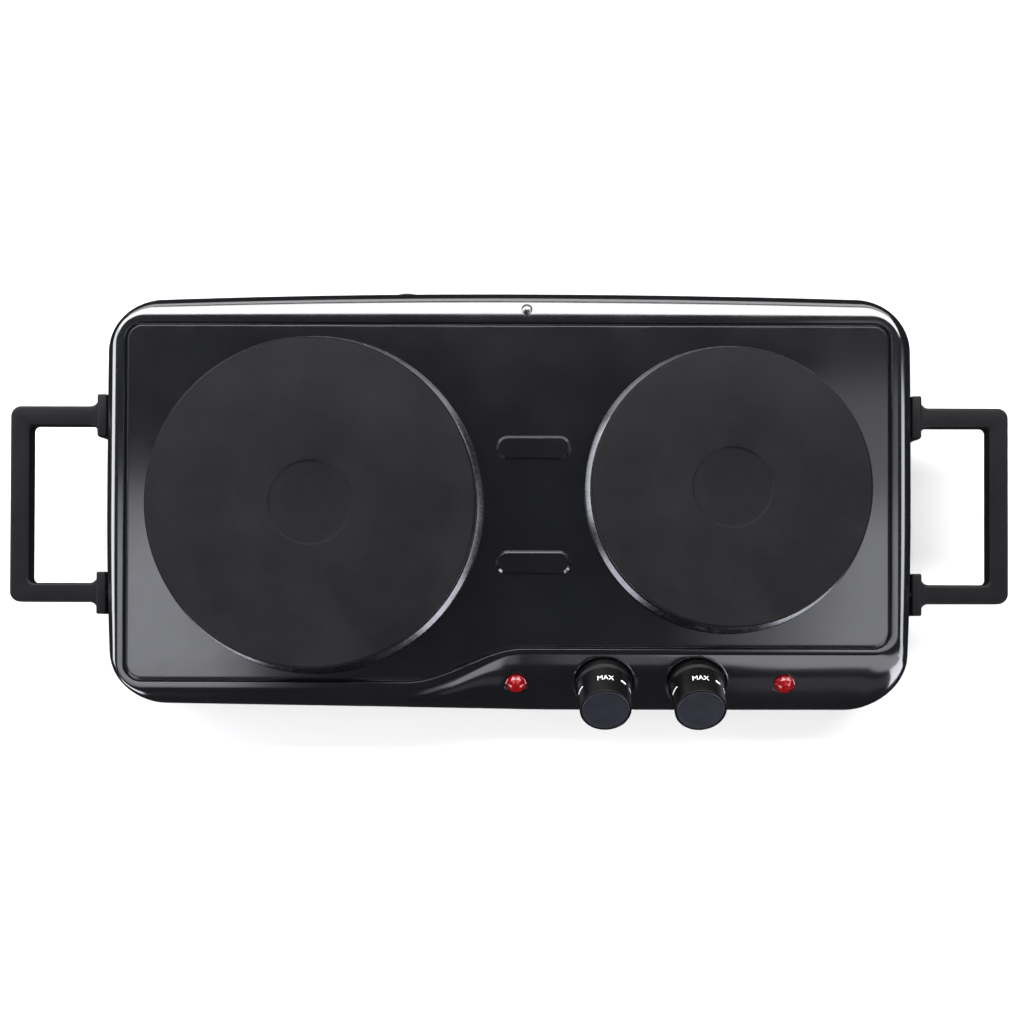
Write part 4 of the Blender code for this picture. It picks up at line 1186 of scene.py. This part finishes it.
def add_feet():
    """Each rubber foot, and the cross-headed screw that holds it to the pan."""
    for name in CORNERS:
        centre = middle_of("foot_" + name)
        place = Matrix.Translation((centre.x, centre.y, 0))
        foot = turned(FOOT, closed=True, steps=64)
        finished("rubber_foot_" + name, foot, LOOKS["rubber"], ROOT, "foot_" + name, place)
        cross = cross_recess(3.4 * MM, 1.2 * MM, 0)
        flip = Matrix.Translation((0, 0, PAN_SCREW_FACE * MM)) @ Matrix.Rotation(math.pi, 4, "X")
        mesh = carved("screw", turned(PAN_SCREW, steps=48), [("DIFFERENCE", cross, flip)])
        finished("pan_screw_" + name, mesh, LOOKS["steel"], ROOT, "base_screw_" + name, place)


def add_rear_screw():
    """The domed screw in the rear rim, leaning with the shoulder."""
    base = Vector((middle_of("rear_screw").x, BODY_Y + REAR_SCREW_Y, REAR_SCREW_Z))
    place = Matrix.Translation(base) @ Matrix.Rotation(REAR_SCREW_LEAN, 4, "X")
    profile = (
        (0, 1.75, 0), (1, 1.65, 1), (2, 1.25, 1), (2.7, 0.75, 0.8), (3.2, 0.3, 0.1),
        (1.4, 0.3, 0), (1.4, -8, 0), (0, -8, 0),
    )
    head = turned(profile, steps=64)
    mesh = carved("rim_screw", head, [("DIFFERENCE", cross_recess(3 * MM, 1.1 * MM, 1.55 * MM), None)])
    finished("rim_screw", mesh, LOOKS["dark_steel"], ROOT, "rear_screw", place)


GLAND_FACE = 3.4


def add_gland():
    """The cord gland: a flanged bush with a stepped face, empty, since no cord is fitted."""
    middle = middle_of("cord_gland")
    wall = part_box("cord_gland")[1].y - GLAND_FACE * MM
    place = Matrix.Translation((middle.x, wall, middle.z)) @ Matrix.Rotation(-UPRIGHT, 4, "X")
    profile = (
        (3.9, GLAND_FACE, 0.5), (5.4, GLAND_FACE, 0.2), (5.6, 2.9, 0.2), (6.6, 2.9, 0.3),
        (8.5, 2.2, 0.5), (8.5, 0.5, 0.1), (6, 0.5, 0.1), (6, -7, 0.3), (3.9, -7, 0.3),
    )
    bush = turned(profile, closed=True, steps=96)
    finished("cord_bush", bush, LOOKS["rubber"], ROOT, "cord_gland", place)


# The inner pieces that keep their CAD shapes, each with the name of its look.
CARRIED = {
    "control_bracket": "zinc",
    "rear_screw_nut": "steel",
    "gland_nut": "nylon",
    "terminal_block": "nylon",
    "supply_wire_left": "wire_red",
    "supply_wire_right": "wire_red",
    "plate_wire_left": "wire_blue",
    "plate_wire_right": "wire_blue",
    "earth_wire": "wire_green",
}
CARRIED_BY_PLATE = {
    "heat_shield": "steel",
    "clamp_bar": "zinc",
    "stud": "steel",
    "nut": "steel",
    "terminals": "ceramic",
}
CARRIED_BY_SIDE = {
    "spindle": "steel",
    "thermostat": "ceramic",
    "contact_arm": "brass",
    "bimetal": "steel",
    "lamp_clip": "steel",
    "lamp_holder": "nylon",
    "handle_screw_front": "steel",
    "handle_screw_rear": "steel",
}


def dress_carried_nodes():
    """Gives the inner CAD pieces the finer materials."""
    looks = dict(CARRIED)
    for prefixes, family in ((PLATES, CARRIED_BY_PLATE), (SIDES, CARRIED_BY_SIDE)):
        for prefix in prefixes:
            looks.update({f"{prefix}_{piece}": look for piece, look in family.items()})
    for name, look in looks.items():
        node = frame["nodes"][name]
        if not node.data.materials:
            node.data.materials.append(None)
        for i in range(len(node.data.materials)):
            node.data.materials[i] = LOOKS[look]


# ---------------- studio


def area_light(name, centre, target, size, radiance, colour, diffuse=True, glossy=True):
    """A softbox: its power follows from the brightness wanted of its face."""
    data = bpy.data.lights.new(name, "AREA")
    data.shape = "RECTANGLE"
    data.size, data.size_y = size
    data.energy = math.pi * size[0] * size[1] * radiance
    data.color = colour
    light = bpy.data.objects.new(name, data)
    light.location = centre
    light.rotation_mode = "QUATERNION"
    light.rotation_quaternion = (Vector(target) - Vector(centre)).to_track_quat("-Z", "Y")
    light.visible_camera = False
    light.visible_diffuse = diffuse
    light.visible_glossy = glossy
    bpy.context.scene.collection.objects.link(light)


WHITE = (1, 1, 1)
PALE_BLUE = (0.93, 0.95, 1)
COOL = (0.92, 0.93, 1)
# Each softbox: centre, the point it faces, its size, the brightness of its face and its colour.
SOFTBOXES = {
    "rear_softbox": ((0, 1.2, 1.2), (0, 0.1, 0.05), (3.4, 1.2), 9.5, WHITE),
    "left_softbox": ((-1.44, 0.42, 0.655), (-0.22, 0.1, 0.05), (1.5, 0.7), 7, PALE_BLUE),
    "right_softbox": ((1.36, -0.2, 0.82), (0.22, -0.05, 0.05), (1.1, 0.55), 5, PALE_BLUE),
    "rear_low_softbox": ((0, 1.9, 0.4), (0, 0.12, 0.05), (3.8, 0.5), 3, WHITE),
    "apron_fill": ((1, -1.35, 1.4), (0.1, -0.1, 0.05), (1.4, 0.7), 1.8, COOL),
    "apron_fill_edge": ((0.17, -1.35, 1.4), (0.1, -0.1, 0.05), (0.26, 0.7), 0.5, COOL),
    "apron_fill_low": ((1, -1.9, 0.6), (0.1, -0.1, 0.05), (1.2, 0.4), 0.2, COOL),
    "left_front_softbox": ((-1.15, -1.05, 0.46), (-0.1, -0.05, 0.06), (0.8, 0.8), 6.5, COOL),
    "right_front_softbox": ((1.15, -1.05, 0.46), (0.1, -0.05, 0.06), (0.8, 0.8), 6.5, COOL),
    "floor_wash": ((0, -1, 1.2), (0, -0.25, 0), (2.6, 1), 7, WHITE),
}
# The softboxes that light matt surfaces too, and the one that no reflection shows.
LIT_BY = ("rear_softbox", "left_softbox", "floor_wash")
UNREFLECTED = ("floor_wash",)
# Panels overhead, facing straight down: the middle in plan, the size and the brightness. The right
# one is made of strips that grow brighter outwards.
OVERHEAD = 1.9
PANELS = {
    "left_fill": ((-0.76, -0.025), (0.38, 0.45), 2.1),
    "right_fill_0": ((0.405, -0.035), (0.09, 0.43), 0.4),
    "right_fill_1": ((0.49, -0.035), (0.08, 0.43), 0.65),
    "right_fill_2": ((0.575, -0.035), (0.09, 0.43), 1.1),
    "right_fill_3": ((0.8, -0.035), (0.36, 0.43), 1.8),
    "right_fill_rear": ((0.78, 0.31), (0.4, 0.26), 0.75),
}
FLOOR_RADIUS = 1.9
FLOOR_DROP = 0.2 * MM


def add_floor():
    bm = bmesh.new()
    bmesh.ops.create_circle(bm, cap_ends=True, segments=128, radius=FLOOR_RADIUS)
    floor = bpy.data.objects.new("floor", mesh_of(bm, "floor"))
    floor.location = (0, 0, -FLOOR_DROP)
    bpy.context.scene.collection.objects.link(floor)
    look = Look("pale_floor")
    look.colour(look.noise(2, 2), (0.3, (0.54, 0.54, 0.54)), (0.7, (0.56, 0.56, 0.56)))
    look.set(Roughness=0.9)
    floor.data.materials.append(look.material)
    floor.visible_glossy = False


def add_world():
    """Pale to the camera, dim to the surfaces, so that the softboxes make the reflections."""
    world = bpy.data.worlds.new("studio")
    world.use_nodes = True
    bpy.context.scene.world = world
    tree = world.node_tree
    back = tree.nodes["Background"]
    back.inputs["Color"].default_value = (0.9, 0.92, 1.0, 1)
    back.inputs["Strength"].default_value = 0.055
    pale = tree.nodes.new("ShaderNodeBackground")
    pale.inputs["Color"].default_value = (0.93, 0.93, 0.93, 1)
    mix = tree.nodes.new("ShaderNodeMixShader")
    path = tree.nodes.new("ShaderNodeLightPath")
    tree.links.new(path.outputs["Is Camera Ray"], mix.inputs[0])
    tree.links.new(back.outputs[0], mix.inputs[1])
    tree.links.new(pale.outputs[0], mix.inputs[2])
    tree.links.new(mix.outputs[0], tree.nodes["World Output"].inputs["Surface"])


def add_studio():
    add_floor()
    add_world()
    for name, settings in SOFTBOXES.items():
        area_light(name, *settings, diffuse=name in LIT_BY, glossy=name not in UNREFLECTED)
    for name, ((x, y), size, radiance) in PANELS.items():
        area_light(name, (x, y, OVERHEAD), (x, y, 0), size, radiance, COOL)


# The view from almost straight above, as if through a shifted lens: millimetres, shares of the
# picture's width, metres and radians.
LENS = 42.92
SHIFT = (-0.0188, 0.096)
CAMERA_PLACE = (0.01287, -0.06588, 0.74717)
CAMERA_TILT = 0.01
CAMERA_ROLL = 0.00267


def add_camera():
    data = bpy.data.cameras.new("camera")
    data.sensor_width = 36
    data.lens = LENS
    data.shift_x, data.shift_y = SHIFT
    data.clip_start = 0.01
    data.clip_end = 30
    camera = bpy.data.objects.new("camera", data)
    tilt = Matrix.Rotation(CAMERA_TILT, 4, "X")
    roll = Matrix.Rotation(CAMERA_ROLL, 4, "Z")
    camera.matrix_world = Matrix.Translation(CAMERA_PLACE) @ tilt @ roll
    bpy.context.scene.collection.objects.link(camera)
    bpy.context.scene.camera = camera
    bpy.context.scene.view_settings.view_transform = "Standard"


add_housing()
for plate_name in PLATES:
    add_plate(plate_name)
for knob_side, knob_x in KNOB_XS.items():
    add_knob(knob_side, knob_x)
for lamp_side, lamp_x in LAMP_XS.items():
    add_lamp(lamp_side, lamp_x)
add_handle("right", 0)
add_handle("left", math.pi)
add_pan()
add_feet()
add_rear_screw()
add_gland()
dress_carried_nodes()
add_studio()
add_camera()
